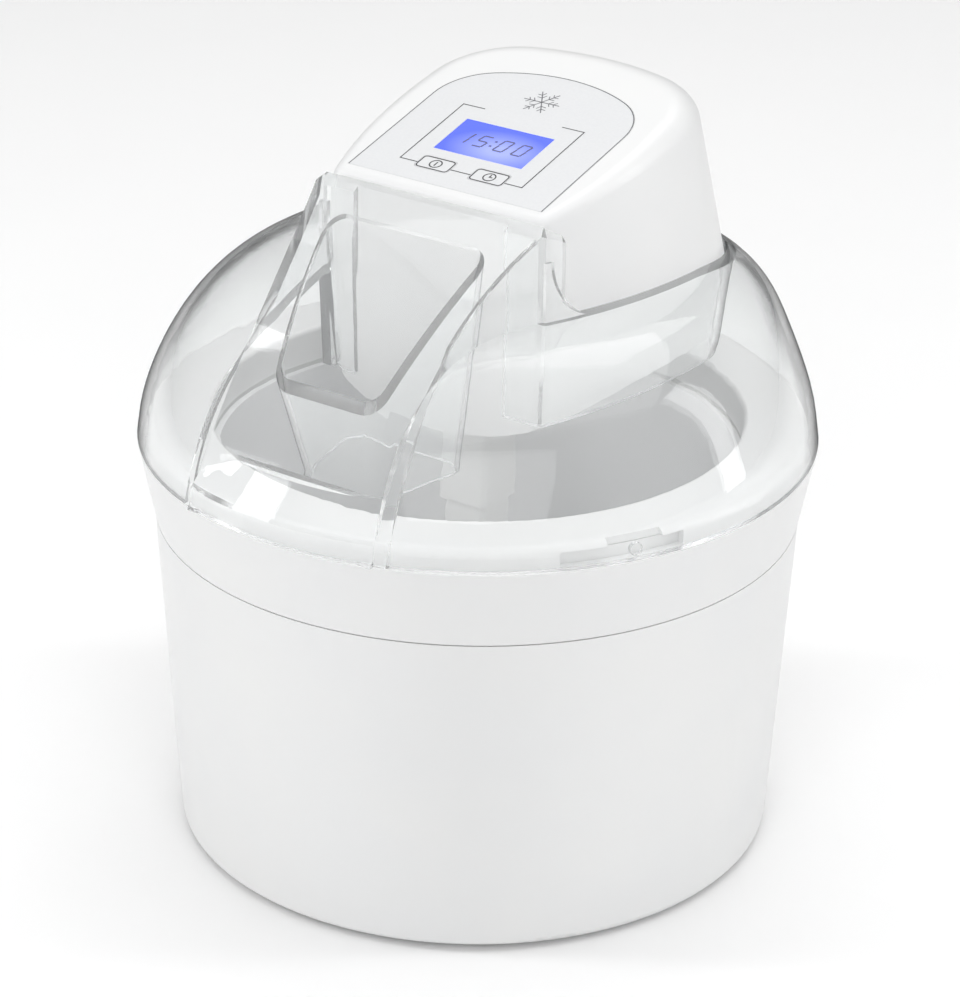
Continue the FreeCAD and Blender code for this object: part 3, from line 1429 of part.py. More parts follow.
# Mixing paddle: a square stem with a flat scraping frame, and a socket for the drive
paddle_foot_z = liner_floor_z + S.paddle_foot_gap
half_stem = S.paddle_stem / 2
half_hub = S.paddle_hub / 2
half_blade = S.paddle_blade_thick / 2
paddle = new_body("paddle_body")
pad(paddle, "stem", paddle_foot_z, S.paddle_hub_z - paddle_foot_z,
    [oblong(half_stem, half_stem, S.paddle_round)])
pad(paddle, "hub", S.paddle_hub_z, S.paddle_top_z - S.paddle_hub_z,
    [oblong(half_hub, half_hub, S.paddle_round)])
blade_low = paddle_foot_z
window_low = blade_low + S.paddle_bar
window_high = S.paddle_blade_top - S.paddle_bar
window_in = half_stem + S.paddle_arm / 2
window_out = S.paddle_reach - S.paddle_arm
corner_x = S.paddle_reach - S.liner_corner
corner_z = blade_low + S.liner_corner
frame_outline = [
    (-corner_x, blade_low),
    (corner_x, blade_low),
    (S.paddle_reach, corner_z),
    (S.paddle_reach, S.paddle_blade_top),
    (-S.paddle_reach, S.paddle_blade_top),
    (-S.paddle_reach, corner_z),
]
frame_corners = {1: ((corner_x, corner_z), "left"), 5: ((-corner_x, corner_z), "left")}
pad(paddle, "frame", -half_blade, S.paddle_blade_thick, [
    (frame_outline, frame_corners),
    (rectangle(-window_out, -window_in, window_low, window_high), None),
    (rectangle(window_in, window_out, window_low, window_high), None),
], role="XZ_Plane")
half_socket = S.drive_square / 2 + S.paddle_socket_gap
pocket(paddle, "socket", S.paddle_top_z, S.paddle_socket_depth,
       [(rectangle(-half_socket, half_socket, -half_socket, half_socket), None)])
keep(paddle, "paddle")

doc.recompute()
failed = [item.Name for item in doc.Objects if "Invalid" in item.State or "Error" in item.State]
if failed:
    raise RuntimeError("failed objects: " + ", ".join(failed))
os.makedirs("parts", exist_ok=True)
for piece in parts:
    if piece.Shape.isNull() or not piece.Shape.isValid():
        raise RuntimeError("bad shape: " + piece.Label)
    piece.Shape.exportStep("parts/%s.step" % piece.Label)
    print(piece.Label, len(piece.Shape.Solids), round(piece.Shape.Volume))
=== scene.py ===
import math

import bpy
from mathutils import Matrix, Vector


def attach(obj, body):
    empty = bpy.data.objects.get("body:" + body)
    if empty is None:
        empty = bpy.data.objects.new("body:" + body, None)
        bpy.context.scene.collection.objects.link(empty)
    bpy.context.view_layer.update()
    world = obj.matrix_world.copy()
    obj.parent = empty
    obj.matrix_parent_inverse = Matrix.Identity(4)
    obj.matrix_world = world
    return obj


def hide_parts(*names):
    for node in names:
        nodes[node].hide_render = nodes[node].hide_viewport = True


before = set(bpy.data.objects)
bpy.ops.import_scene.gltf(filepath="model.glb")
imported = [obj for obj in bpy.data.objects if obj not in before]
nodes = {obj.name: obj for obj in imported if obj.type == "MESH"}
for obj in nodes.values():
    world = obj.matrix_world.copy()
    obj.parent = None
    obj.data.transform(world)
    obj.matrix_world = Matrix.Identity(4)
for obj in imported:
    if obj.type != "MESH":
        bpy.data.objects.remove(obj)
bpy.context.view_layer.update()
bpy.ops.object.select_all(action="DESELECT")

MM = 0.001
SMOOTH_UP_TO = math.radians(32)


# Small tools


def linear(code):
    """Linear colour, with alpha, from an sRGB hex code."""
    shares = [int(code[at:at + 2], 16) / 255 for at in (0, 2, 4)]
    return [s / 12.92 if s <= 0.04045 else ((s + 0.055) / 1.055) ** 2.4 for s in shares] + [1]


def add(tree, kind, inputs=None, **settings):
    """Adds one node with its settings, and its inputs as values or as links from other nodes."""
    item = tree.nodes.new(kind)
    for name, value in settings.items():
        setattr(item, name, value)
    for name, value in (inputs or {}).items():
        if isinstance(value, bpy.types.NodeSocket):
            tree.links.new(value, item.inputs[name])
        else:
            item.inputs[name].default_value = value
    return item


def start_material(name):
    """A new material with its node tree, its principled shader and the piece's own coordinates in metres."""
    material = bpy.data.materials.new(name)
    material.use_nodes = True
    tree = material.node_tree
    shader = tree.nodes["Principled BSDF"]
    place = add(tree, "ShaderNodeTexCoord").outputs["Object"]
    return material, tree, shader, place


def across(size_mm):
    """Texture scale that makes one cell of a pattern this many millimetres wide."""
    return 1 / (size_mm * MM)


# Materials


# The middle stretch of a noise pattern, which holds nearly all its values
NOISE_STRETCH = {"From Min": 0.3, "From Max": 0.7}
# Widths of faint patterns in millimetres: how plastic flowed, where its gloss changes, clouds on metal and
# on film, long waves in clear plastic, flecks under the film, threads of a print screen, lanes of a circuit.
# The finest of these, and the grain of moulds, are drawn coarser than life so that they show
FLOW_MM = 38
GLOSS_PATCH_MM = 9
METAL_CLOUD_MM = 26
FILM_CLOUD_MM = 14
CLEAR_WAVE_MM = 22
FLECK_MM = 0.9
SCREEN_THREAD_MM = 0.4
CIRCUIT_LANE_MM = 8


def moulded_plastic(name, light, dark, gloss, satin, grain_mm, depth_mm, ior):
    """Injection-moulded plastic: faint flow shading, gloss that wanders, and the mould's fine grain."""
    material, tree, shader, place = start_material(name)
    flow = add(tree, "ShaderNodeTexNoise", {"Vector": place, "Scale": across(FLOW_MM), "Detail": 2.0})
    tint = add(tree, "ShaderNodeMix", {0: flow.outputs["Fac"], 6: linear(light), 7: linear(dark)},
               data_type="RGBA")
    wander = add(tree, "ShaderNodeTexNoise", {"Vector": place, "Scale": across(GLOSS_PATCH_MM),
                                              "Detail": 3.0})
    sheen = add(tree, "ShaderNodeMapRange", {"Value": wander.outputs["Fac"], **NOISE_STRETCH,
                                             "To Min": gloss, "To Max": satin})
    grain = add(tree, "ShaderNodeTexNoise", {"Vector": place, "Scale": across(grain_mm), "Detail": 2.0})
    bump = add(tree, "ShaderNodeBump", {"Height": grain.outputs["Fac"], "Strength": 0.25,
                                        "Distance": depth_mm * MM})
    tree.links.new(tint.outputs[2], shader.inputs["Base Color"])
    tree.links.new(sheen.outputs["Result"], shader.inputs["Roughness"])
    tree.links.new(bump.outputs["Normal"], shader.inputs["Normal"])
    shader.inputs["IOR"].default_value = ior
    return material


# Gloss white ABS from a polished mould: soft broad reflections, grain just short of mirror-smooth
white_abs = moulded_plastic("gloss_white_abs", "ebebea", "e6e7e8", gloss=0.29, satin=0.36,
                            grain_mm=1.4, depth_mm=0.008, ior=1.53)
# White polypropylene, for pieces that touch the mix: duller, a little milky
white_pp = moulded_plastic("milky_white_polypropylene", "ececea", "e3e4e4", gloss=0.34, satin=0.44,
                           grain_mm=1.0, depth_mm=0.03, ior=1.49)
# Acetal, cut and moulded gears: cream, waxy sheen
acetal = moulded_plastic("cream_acetal", "ebe6d6", "e2dcc9", gloss=0.30, satin=0.40,
                         grain_mm=0.8, depth_mm=0.02, ior=1.48)
# Black switch plastic: half matt
black_plastic = moulded_plastic("black_switch_plastic", "1c1c1d", "141415", gloss=0.40, satin=0.55,
                                grain_mm=0.6, depth_mm=0.03, ior=1.50)
# Pale grey moulded rubber of the cord gland: matt and even
pale_rubber = moulded_plastic("pale_moulded_rubber", "dcdcda", "d2d2d0", gloss=0.50, satin=0.62,
                              grain_mm=0.7, depth_mm=0.05, ior=1.51)
# Black foot rubber: matt with a fine open grain
black_rubber = moulded_plastic("black_foot_rubber", "232323", "191919", gloss=0.62, satin=0.80,
                               grain_mm=0.5, depth_mm=0.08, ior=1.52)
# Grey moulded silicone of seals and plugs: dull and soft-looking
grey_silicone = moulded_plastic("grey_silicone", "c2c3c1", "b5b6b5", gloss=0.45, satin=0.60,
                                grain_mm=0.9, depth_mm=0.04, ior=1.41)
# Blue-tinted cooling gel, sealed in the bowl's wall: wet and slightly lumpy
cooling_gel = moulded_plastic("cooling_gel", "b3cce4", "9fbcd9", gloss=0.12, satin=0.22,
                              grain_mm=4.0, depth_mm=0.10, ior=1.36)


def clear_styrene():
    """Clear styrene-acrylonitrile, polished: bends and mirrors light, with faint moulding waves.

    A wall seen edge-on is darkened by a painted shade, a dark see-through layer standing in for the dark
    surroundings it would bend and mirror. Lamps and bounced light pass straight through, as they nearly do
    through so thin a wall. The index is set lower than the plastic's own, to keep the lid as clear as it is.
    """
    material, tree, shader, place = start_material("clear_polished_styrene")
    waves = add(tree, "ShaderNodeTexNoise", {"Vector": place, "Scale": across(CLEAR_WAVE_MM), "Detail": 1.0})
    bump = add(tree, "ShaderNodeBump", {"Height": waves.outputs["Fac"], "Strength": 0.12,
                                        "Distance": 0.3 * MM})
    haze = add(tree, "ShaderNodeMapRange", {"Value": waves.outputs["Fac"], **NOISE_STRETCH,
                                            "To Min": 0.005, "To Max": 0.03})
    tree.links.new(bump.outputs["Normal"], shader.inputs["Normal"])
    tree.links.new(haze.outputs["Result"], shader.inputs["Roughness"])
    shader.inputs["Base Color"].default_value = linear("feffff")
    shader.inputs["Transmission Weight"].default_value = 0.88
    shader.inputs["IOR"].default_value = 1.34
    edge = add(tree, "ShaderNodeLayerWeight", {"Blend": 0.5})
    edge_on = add(tree, "ShaderNodeMapRange", {"Value": edge.outputs["Facing"], "From Min": 0.70,
                                               "From Max": 0.94, "To Max": 0.85})
    # Painted shade: a dark see-through layer laid over walls seen edge-on, in place of the dark surroundings
    # they would bend and mirror
    painted_edge_shade = add(tree, "ShaderNodeBsdfTransparent", {"Color": linear("4a4c50")})
    edged = add(tree, "ShaderNodeMixShader", {0: edge_on.outputs["Result"], 1: shader.outputs["BSDF"],
                                              2: painted_edge_shade.outputs["BSDF"]})
    path = add(tree, "ShaderNodeLightPath")
    lit = add(tree, "ShaderNodeMath", {0: path.outputs["Is Shadow Ray"], 1: path.outputs["Is Diffuse Ray"]},
              operation="MAXIMUM")
    passing = add(tree, "ShaderNodeBsdfTransparent", {"Color": linear("fdfdfd")})
    both = add(tree, "ShaderNodeMixShader", {0: lit.outputs["Value"], 1: edged.outputs["Shader"],
                                             2: passing.outputs["BSDF"]})
    surface = tree.nodes["Material Output"]
    tree.links.new(both.outputs["Shader"], surface.inputs["Surface"])
    depth = add(tree, "ShaderNodeVolumeAbsorption", {"Color": linear("dfe2e3"), "Density": 8.0})
    tree.links.new(depth.outputs["Volume"], surface.inputs["Volume"])
    return material


def turned_metal(name, light, dark, gloss, satin, line_mm, depth_mm, bare):
    """Metal turned or drawn about the machine's axis: fine rings on floors, fine hoops on walls."""
    material, tree, shader, place = start_material(name)
    flat = add(tree, "ShaderNodeVectorMath", {0: place, 1: (1, 1, 0)}, operation="MULTIPLY")
    radius = add(tree, "ShaderNodeVectorMath", {0: flat.outputs["Vector"]}, operation="LENGTH")
    height = add(tree, "ShaderNodeSeparateXYZ", {"Vector": place})
    profile = add(tree, "ShaderNodeCombineXYZ", {"X": radius.outputs["Value"], "Z": height.outputs["Z"]})
    lines = add(tree, "ShaderNodeTexNoise", {"Vector": profile.outputs["Vector"], "Scale": across(line_mm),
                                             "Detail": 4.0})
    cloud = add(tree, "ShaderNodeTexNoise", {"Vector": place, "Scale": across(METAL_CLOUD_MM), "Detail": 2.0})
    tint = add(tree, "ShaderNodeMix", {0: cloud.outputs["Fac"], 6: linear(light), 7: linear(dark)},
               data_type="RGBA")
    sheen = add(tree, "ShaderNodeMapRange", {"Value": lines.outputs["Fac"], **NOISE_STRETCH,
                                             "To Min": gloss, "To Max": satin})
    bump = add(tree, "ShaderNodeBump", {"Height": lines.outputs["Fac"], "Strength": 0.3,
                                        "Distance": depth_mm * MM})
    tree.links.new(tint.outputs[2], shader.inputs["Base Color"])
    tree.links.new(sheen.outputs["Result"], shader.inputs["Roughness"])
    tree.links.new(bump.outputs["Normal"], shader.inputs["Normal"])
    shader.inputs["Metallic"].default_value = bare
    return material


# Drawn aluminium under a milky satin oxide skin, which scatters light as well as mirroring it;
# its turning lines are drawn coarser than life so that they show
satin_aluminium = turned_metal("satin_anodised_aluminium", "f5f5f6", "ecedee", gloss=0.42, satin=0.54,
                               line_mm=1.2, depth_mm=0.02, bare=0.1)
# Bright zinc-plated steel: a cool, slightly blurred mirror
plated_steel = turned_metal("zinc_plated_steel", "b9babd", "a8aaae", gloss=0.29, satin=0.38,
                            line_mm=0.6, depth_mm=0.02, bare=1.0)
# Oil-filled sintered bronze: brown, with a dull shine
sintered_bronze = turned_metal("sintered_bronze", "b08a4e", "987339", gloss=0.38, satin=0.50,
                               line_mm=0.5, depth_mm=0.04, bare=1.0)


def panel_film():
    """Hard-coated polycarbonate film with a fine silvery grain in its white back print."""
    material, tree, shader, place = start_material("white_polycarbonate_film")
    fleck = add(tree, "ShaderNodeTexNoise", {"Vector": place, "Scale": across(FLECK_MM), "Detail": 3.0})
    tint = add(tree, "ShaderNodeMix", {0: fleck.outputs["Fac"], 6: linear("e2e3e4"), 7: linear("dadbdd")},
               data_type="RGBA")
    cloud = add(tree, "ShaderNodeTexNoise", {"Vector": place, "Scale": across(FILM_CLOUD_MM)})
    sheen = add(tree, "ShaderNodeMapRange", {"Value": cloud.outputs["Fac"], "To Min": 0.30, "To Max": 0.40})
    tree.links.new(tint.outputs[2], shader.inputs["Base Color"])
    tree.links.new(sheen.outputs["Result"], shader.inputs["Roughness"])
    shader.inputs["IOR"].default_value = 1.58
    return material


# The display lamp's brightest spot, and how far its light spreads across and up the window
GLOW_CENTRE = Vector((4, 3.5, 226.6)) * MM
GLOW_REACH_MM = (19.23, 10.87)


def lit_display():
    """Acrylic window over a lit display: deep blue at the far edges, paler where the lamp spreads."""
    material, tree, shader, place = start_material("blue_lit_display_window")
    centred = add(tree, "ShaderNodeMapping", {"Vector": place, "Location": -GLOW_CENTRE})
    reach = (across(GLOW_REACH_MM[0]), across(GLOW_REACH_MM[1]), 0)
    spread = add(tree, "ShaderNodeMapping", {"Vector": centred.outputs["Vector"], "Scale": reach})
    glow = add(tree, "ShaderNodeTexGradient", {"Vector": spread.outputs["Vector"]}, gradient_type="SPHERICAL")
    ramp = add(tree, "ShaderNodeValToRGB", {"Fac": glow.outputs["Fac"]})
    deep, pale = ramp.color_ramp.elements
    deep.color = linear("4a63ea")
    pale.position = 0.8
    pale.color = linear("b9c4f8")
    shader.inputs["Base Color"].default_value = linear("2a3cb0")
    tree.links.new(ramp.outputs["Color"], shader.inputs["Emission Color"])
    shader.inputs["Emission Strength"].default_value = 0.75
    shader.inputs["Roughness"].default_value = 0.12
    shader.inputs["IOR"].default_value = 1.49
    return material


def etched_board():
    """Epoxy board under green resist, with the copper's lanes showing through as paler bands."""
    material, tree, shader, place = start_material("green_epoxy_board")
    lanes = add(tree, "ShaderNodeTexBrick", {"Vector": place, "Scale": across(CIRCUIT_LANE_MM),
                                             "Color1": linear("1d6b3a"), "Color2": linear("237a44"),
                                             "Mortar": linear("145030"), "Mortar Size": 0.03})
    tree.links.new(lanes.outputs["Color"], shader.inputs["Base Color"])
    shader.inputs["Roughness"].default_value = 0.35
    shader.inputs["IOR"].default_value = 1.55
    return material


def screen_ink(name, light, dark):
    """Screen-printed ink, a little broken by the mesh it went through."""
    material, tree, shader, place = start_material(name)
    weave = add(tree, "ShaderNodeTexNoise", {"Vector": place, "Scale": across(SCREEN_THREAD_MM),
                                             "Detail": 1.0})
    tint = add(tree, "ShaderNodeMix", {0: weave.outputs["Fac"], 6: linear(light), 7: linear(dark)},
               data_type="RGBA")
    tree.links.new(tint.outputs[2], shader.inputs["Base Color"])
    shader.inputs["Roughness"].default_value = 0.5
    shader.inputs["IOR"].default_value = 1.5
    return material


clear_lid_plastic = clear_styrene()
overlay_film = panel_film()
display_window = lit_display()
green_board = etched_board()
# Dull inks: dark for frames and keys, paler for the symbol and for the painted shade in the groove at the
# film's edge, bluish for the digits
dark_ink = screen_ink("dark_grey_screen_ink", "3f4043", "343538")
pale_ink_and_groove_shade = screen_ink("mid_grey_ink_and_groove_shade", "7b7c80", "6f7074")
segment_ink = screen_ink("display_segment_grey", "686a8e", "5d5f83")

# Which piece has which finish
finishes = {
    white_abs: ["outer_casing", "bowl_collar", "head_lower_shell", "head_upper_shell"],
    white_pp: ["bowl_outer_shell", "paddle", "gear_plate"],
    satin_aluminium: ["bowl_liner"],
    black_rubber: ["rubber_feet", "shaft_seal"],
    grey_silicone: ["coolant_plug", "liner_seal"],
    cooling_gel: ["coolant_gel"],
    overlay_film: ["panel_overlay", "start_button", "timer_button"],
    display_window: ["lcd_window", "lcd_module"],
    green_board: ["control_board", "power_board"],
    black_plastic: ["tact_switches"],
    plated_steel: ["motor", "motor_screws", "housing_screws", "idler_pins", "output_shaft", "shaft_circlip",
                   "motor_pinion"],
    sintered_bronze: ["lower_bush", "upper_bush"],
    acetal: ["output_gear", "idler_gear_slow", "idler_gear_fast"],
    pale_rubber: ["cord_gland"],
    clear_lid_plastic: ["lid"],
}
for material, names in finishes.items():
    for name in names:
        nodes[name].data.materials.clear()
        nodes[name].data.materials.append(material)


# The clear lid


WELD = 0.001 * MM
# Each top corner of the hood is cut along a slanted plane through this point, square to this way out
CORNER_POINT = Vector((41, -26, 219)) * MM
CORNER_WAY_OUT = Vector((0.77, 0, 0.64))
CORNER_BLOCK = 20 * MM


def trim_hood_corner(lid, side):
    """Cuts one sharp top corner of the hood back to a slanted edge beside the head."""
    mirror = Matrix.Diagonal((side, 1, 1))
    way_out = mirror @ CORNER_WAY_OUT
    middle = mirror @ CORNER_POINT + CORNER_BLOCK / 2 * way_out
    bpy.ops.mesh.primitive_cube_add(size=CORNER_BLOCK, location=middle,
                                    rotation=way_out.to_track_quat("Z", "Y").to_euler())
    block = bpy.context.object
    bpy.context.view_layer.objects.active = lid
    trim = lid.modifiers.new("corner_trim", "BOOLEAN")
    trim.operation = "DIFFERENCE"
    trim.object = block
    bpy.ops.object.modifier_apply(modifier=trim.name)
    bpy.data.objects.remove(block, do_unlink=True)
    lid.select_set(True)


def clear_lid():
    """The moulded lid as one welded, smooth-shaded skin, so that it bends light without facets."""
    lid = bpy.data.objects.new("clear_lid", nodes["lid"].data.copy())
    bpy.context.scene.collection.objects.link(lid)
    bpy.context.view_layer.objects.active = lid
    lid.select_set(True)
    bpy.ops.mesh.customdata_custom_splitnormals_clear()
    bpy.ops.object.mode_set(mode="EDIT")
    bpy.ops.mesh.select_all(action="SELECT")
    bpy.ops.mesh.remove_doubles(threshold=WELD)
    bpy.ops.object.mode_set(mode="OBJECT")
    for side in (-1, 1):
        trim_hood_corner(lid, side)
    bpy.ops.object.shade_smooth_by_angle(angle=SMOOTH_UP_TO)
    lid.select_set(False)
    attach(lid, "cover")
    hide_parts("lid")


clear_lid()


# The wall behind the lock slots


SLOT_WALL_RADIUS = 102.2 * MM
SLOT_WALL_FOOT = 134 * MM
SLOT_WALL_HEIGHT = 6 * MM
SLOT_WALL_THICK = 1.2 * MM
SLOT_WALL_SIDES = 128


def lock_slot_back():
    """The white wall behind the lid's lock slots, a thin band inside the collar's neck."""
    bpy.ops.mesh.primitive_circle_add(vertices=SLOT_WALL_SIDES, radius=SLOT_WALL_RADIUS,
                                      location=(0, 0, SLOT_WALL_FOOT))
    band = bpy.context.object
    band.name = "lock_slot_back"
    bpy.ops.object.mode_set(mode="EDIT")
    bpy.ops.mesh.select_all(action="SELECT")
    bpy.ops.mesh.extrude_region_move(TRANSFORM_OT_translate={"value": (0, 0, SLOT_WALL_HEIGHT)})
    bpy.ops.mesh.select_all(action="SELECT")
    bpy.ops.mesh.normals_make_consistent(inside=False)
    bpy.ops.object.mode_set(mode="OBJECT")
    bpy.ops.object.transform_apply(location=True)
    wall = band.modifiers.new("wall", "SOLIDIFY")
    wall.thickness = SLOT_WALL_THICK
    wall.offset = -1
    bpy.ops.object.modifier_apply(modifier=wall.name)
    bpy.ops.object.shade_smooth_by_angle(angle=SMOOTH_UP_TO)
    band.data.materials.append(white_abs)
    band.select_set(False)
    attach(band, "bowl")


lock_slot_back()


# Print on the control panel, drawn in millimetres on its face


# The sloping control panel: its own x runs right, y climbs the slope, z stands out of the face
PANEL_Y = -2.23 * MM
PANEL_Z = 226.26 * MM
PANEL_TILT = math.radians(13.275)
PANEL = Matrix.Translation((0, PANEL_Y, PANEL_Z)) @ Matrix.Rotation(PANEL_TILT, 4, "X")
PRINT_LIFT = 0.02 * MM
PRINT_THICK = 0.03 * MM


def begin_print(name):
    """An empty flat piece, open for drawing in edit mode."""
    mesh = bpy.data.meshes.new(name)
    piece = bpy.data.objects.new(name, mesh)
    bpy.context.scene.collection.objects.link(piece)
    bpy.ops.object.select_all(action="DESELECT")
    bpy.context.view_layer.objects.active = piece
    piece.select_set(True)
    bpy.ops.object.mode_set(mode="EDIT")
    return piece


def end_print(piece, material, body):
    """Gives the flat drawing its thickness, lays it on the panel and lets it ride on a body."""
    bpy.ops.mesh.select_all(action="SELECT")
    bpy.ops.mesh.extrude_region_move(TRANSFORM_OT_translate={"value": (0, 0, PRINT_THICK)})
    bpy.ops.mesh.select_all(action="SELECT")
    bpy.ops.mesh.normals_make_consistent(inside=False)
    bpy.ops.object.mode_set(mode="OBJECT")
    piece.matrix_world = PANEL @ Matrix.Translation((0, 0, PRINT_LIFT))
    bpy.ops.object.transform_apply(location=True, rotation=True, scale=True)
    piece.data.materials.append(material)
    piece.select_set(False)
    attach(piece, body)


def heading(degrees):
    """The way that lies this far round from the panel's right."""
    turn = math.radians(degrees)
    return Vector((math.cos(turn), math.sin(turn)))


def stroke(start, end, width):
    """One straight printed line between two points."""
    run = Vector(end) - Vector(start)
    turn = math.atan2(run.y, run.x)
    middle = (Vector(start) + Vector(end)).to_3d() / 2 * MM
    bpy.ops.mesh.primitive_plane_add(size=MM, location=middle, rotation=(0, 0, turn), scale=(1, 1, 1))
    bpy.ops.transform.resize(value=(run.length + width, width, 1), orient_type="LOCAL",
                             orient_matrix=Matrix.Rotation(turn, 3, "Z"), orient_matrix_type="LOCAL",
                             center_override=middle)


def arc(centre, radius, first, last, steps, width):
    """Short strokes along an arc between two angles in degrees."""
    angles = [first + (last - first) * step / steps for step in range(steps + 1)]
    points = [Vector(centre) + radius * heading(angle) for angle in angles]
    for start, end in zip(points, points[1:]):
        stroke(start, end, width)


def ring(centre, half_width, half_height, corner, width):
    """A closed printed outline: a rounded rectangle, or a circle where the corner is the half size."""
    middle = Vector(centre).to_3d() * MM
    bpy.ops.mesh.select_all(action="DESELECT")
    bpy.ops.mesh.primitive_plane_add(size=2 * MM, location=middle)
    bpy.ops.transform.resize(value=(half_width, half_height, 1), center_override=middle)
    bpy.ops.mesh.bevel(offset=corner * MM, offset_pct=0, segments=10, affect="VERTICES", clamp_overlap=True)
    bpy.ops.mesh.remove_doubles(threshold=2 * WELD)
    bpy.ops.mesh.inset(thickness=width * MM, depth=0)
    bpy.ops.mesh.delete(type="FACE")


KEY_X = 10
KEY_Y = -8
KEY_HALF_WIDTH = 6.0
KEY_HALF_HEIGHT = 3.25
KEY_CORNER = 1.4
KEY_LINE = 0.42

FRAME_HALF = 22.7
FRAME_FRONT = -9.1
FRAME_BACK = 25.8
FRAME_BACK_RUN = 8.0
FRAME_LINE = 0.36
# The front line stops this far short of each key
FRAME_KEY_GAP = 0.4


def panel_frame_lines():
    """The open frame round the display, whose front line runs from key to key."""
    piece = begin_print("panel_frame_lines")
    key_reach = KEY_HALF_WIDTH + FRAME_KEY_GAP
    for side in (-1, 1):
        front = (side * FRAME_HALF, FRAME_FRONT)
        back = (side * FRAME_HALF, FRAME_BACK)
        stroke(front, back, FRAME_LINE)
        stroke(back, (side * (FRAME_HALF - FRAME_BACK_RUN), FRAME_BACK), FRAME_LINE)
        stroke(front, (side * (KEY_X + key_reach), FRAME_FRONT), FRAME_LINE)
    stroke((key_reach - KEY_X, FRAME_FRONT), (KEY_X - key_reach, FRAME_FRONT), FRAME_LINE)
    end_print(piece, dark_ink, "drive_head")


# The film's outline, along which a grey line is painted as the shade in the groove round the film
EDGE_HALF = 35.8
EDGE_FRONT = -18.1
EDGE_SHOULDER = 28.0
EDGE_CORNER = 19.8
EDGE_APEX = 51.4
GROOVE_SHADE_WIDTH = 0.3
CROWN_STEPS = 16
CORNER_STEPS = 10


def painted_groove_shade_line():
    """Painted shade in the groove round the film's edge, drawn as a fine grey line: straight sides, corner
    arcs and a crown arc.
    """
    piece = begin_print("painted_groove_shade_line")
    corner_x = EDGE_HALF - EDGE_CORNER
    rise = EDGE_APEX - EDGE_CORNER - EDGE_SHOULDER
    # The crown's centre lies where its arc touches both corner arcs and the apex
    crown_drop = (corner_x ** 2 - rise ** 2) / (2 * rise)
    crown_y = EDGE_SHOULDER - crown_drop
    crown_turn = math.degrees(math.atan2(crown_drop, corner_x))
    arc((0, crown_y), EDGE_APEX - crown_y, crown_turn, 180 - crown_turn, CROWN_STEPS, GROOVE_SHADE_WIDTH)
    arc((corner_x, EDGE_SHOULDER), EDGE_CORNER, 0, crown_turn, CORNER_STEPS, GROOVE_SHADE_WIDTH)
    arc((-corner_x, EDGE_SHOULDER), EDGE_CORNER, 180 - crown_turn, 180, CORNER_STEPS, GROOVE_SHADE_WIDTH)
    for side in (-1, 1):
        stroke((side * EDGE_HALF, EDGE_FRONT), (side * EDGE_HALF, EDGE_SHOULDER), GROOVE_SHADE_WIDTH)
    end_print(piece, pale_ink_and_groove_shade, "drive_head")


SIGN_RADIUS = 2.2
# A full round's corners stop this far short of each other, so that its sides keep a length
ROUND_TRIM = 0.01
POWER_BAR_HALF = 0.9
MINUTE_HAND = 1.2
HOUR_HAND_START = 0.3
HOUR_HAND = 0.9


def key_rings(x):
    """The rounded frame of one key and the circle of its sign."""
    ring((x, KEY_Y), KEY_HALF_WIDTH, KEY_HALF_HEIGHT, KEY_CORNER, KEY_LINE)
    ring((x, KEY_Y), SIGN_RADIUS, SIGN_RADIUS, SIGN_RADIUS - ROUND_TRIM, KEY_LINE)


def start_key_mark():
    """The left key's print: a power sign."""
    piece = begin_print("start_key_mark")
    key_rings(-KEY_X)
    stroke((-KEY_X, KEY_Y - POWER_BAR_HALF), (-KEY_X, KEY_Y + POWER_BAR_HALF), KEY_LINE)
    end_print(piece, dark_ink, "start_key")


def timer_key_mark():
    """The right key's print: a clock with two hands."""
    piece = begin_print("timer_key_mark")
    key_rings(KEY_X)
    stroke((KEY_X, KEY_Y), (KEY_X, KEY_Y + MINUTE_HAND), KEY_LINE)
    stroke((KEY_X + HOUR_HAND_START, KEY_Y), (KEY_X + HOUR_HAND, KEY_Y), KEY_LINE)
    end_print(piece, dark_ink, "timer_key")


FLAKE_CENTRE = Vector((0, 36.2))
FLAKE_ARM = 6.4
FLAKE_ARM_LINE = 0.35
# How far out each pair of twigs starts, and how long it is
FLAKE_TWIGS = ((2.6, 1.7), (4.3, 1.5))
FLAKE_TWIG_LINE = 0.3
FLAKE_TWIG_LEAN = 55


def cold_symbol():
    """A plain snowflake with six arms and two pairs of twigs on each."""
    piece = begin_print("cold_symbol")
    for turn in range(0, 360, 60):
        stroke(FLAKE_CENTRE, FLAKE_CENTRE + FLAKE_ARM * heading(turn), FLAKE_ARM_LINE)
        for distance, length in FLAKE_TWIGS:
            foot = FLAKE_CENTRE + distance * heading(turn)
            for lean in (-FLAKE_TWIG_LEAN, FLAKE_TWIG_LEAN):
                stroke(foot, foot + length * heading(turn + lean), FLAKE_TWIG_LINE)
    end_print(piece, pale_ink_and_groove_shade, "drive_head")


# The seven bars of a figure, from corner to corner of a grid two wide and two high
BARS = {"top": ((-1, 1), (1, 1)), "high_left": ((-1, 0), (-1, 1)), "high_right": ((1, 0), (1, 1)),
        "middle": ((-1, 0), (1, 0)), "low_left": ((-1, -1), (-1, 0)), "low_right": ((1, -1), (1, 0)),
        "bottom": ((-1, -1), (1, -1))}
# Which bars of each figure show
FIGURES = {"1": ["high_right", "low_right"],
           "5": ["top", "high_left", "middle", "low_right", "bottom"],
           "0": ["top", "high_left", "high_right", "low_left", "low_right", "bottom"]}
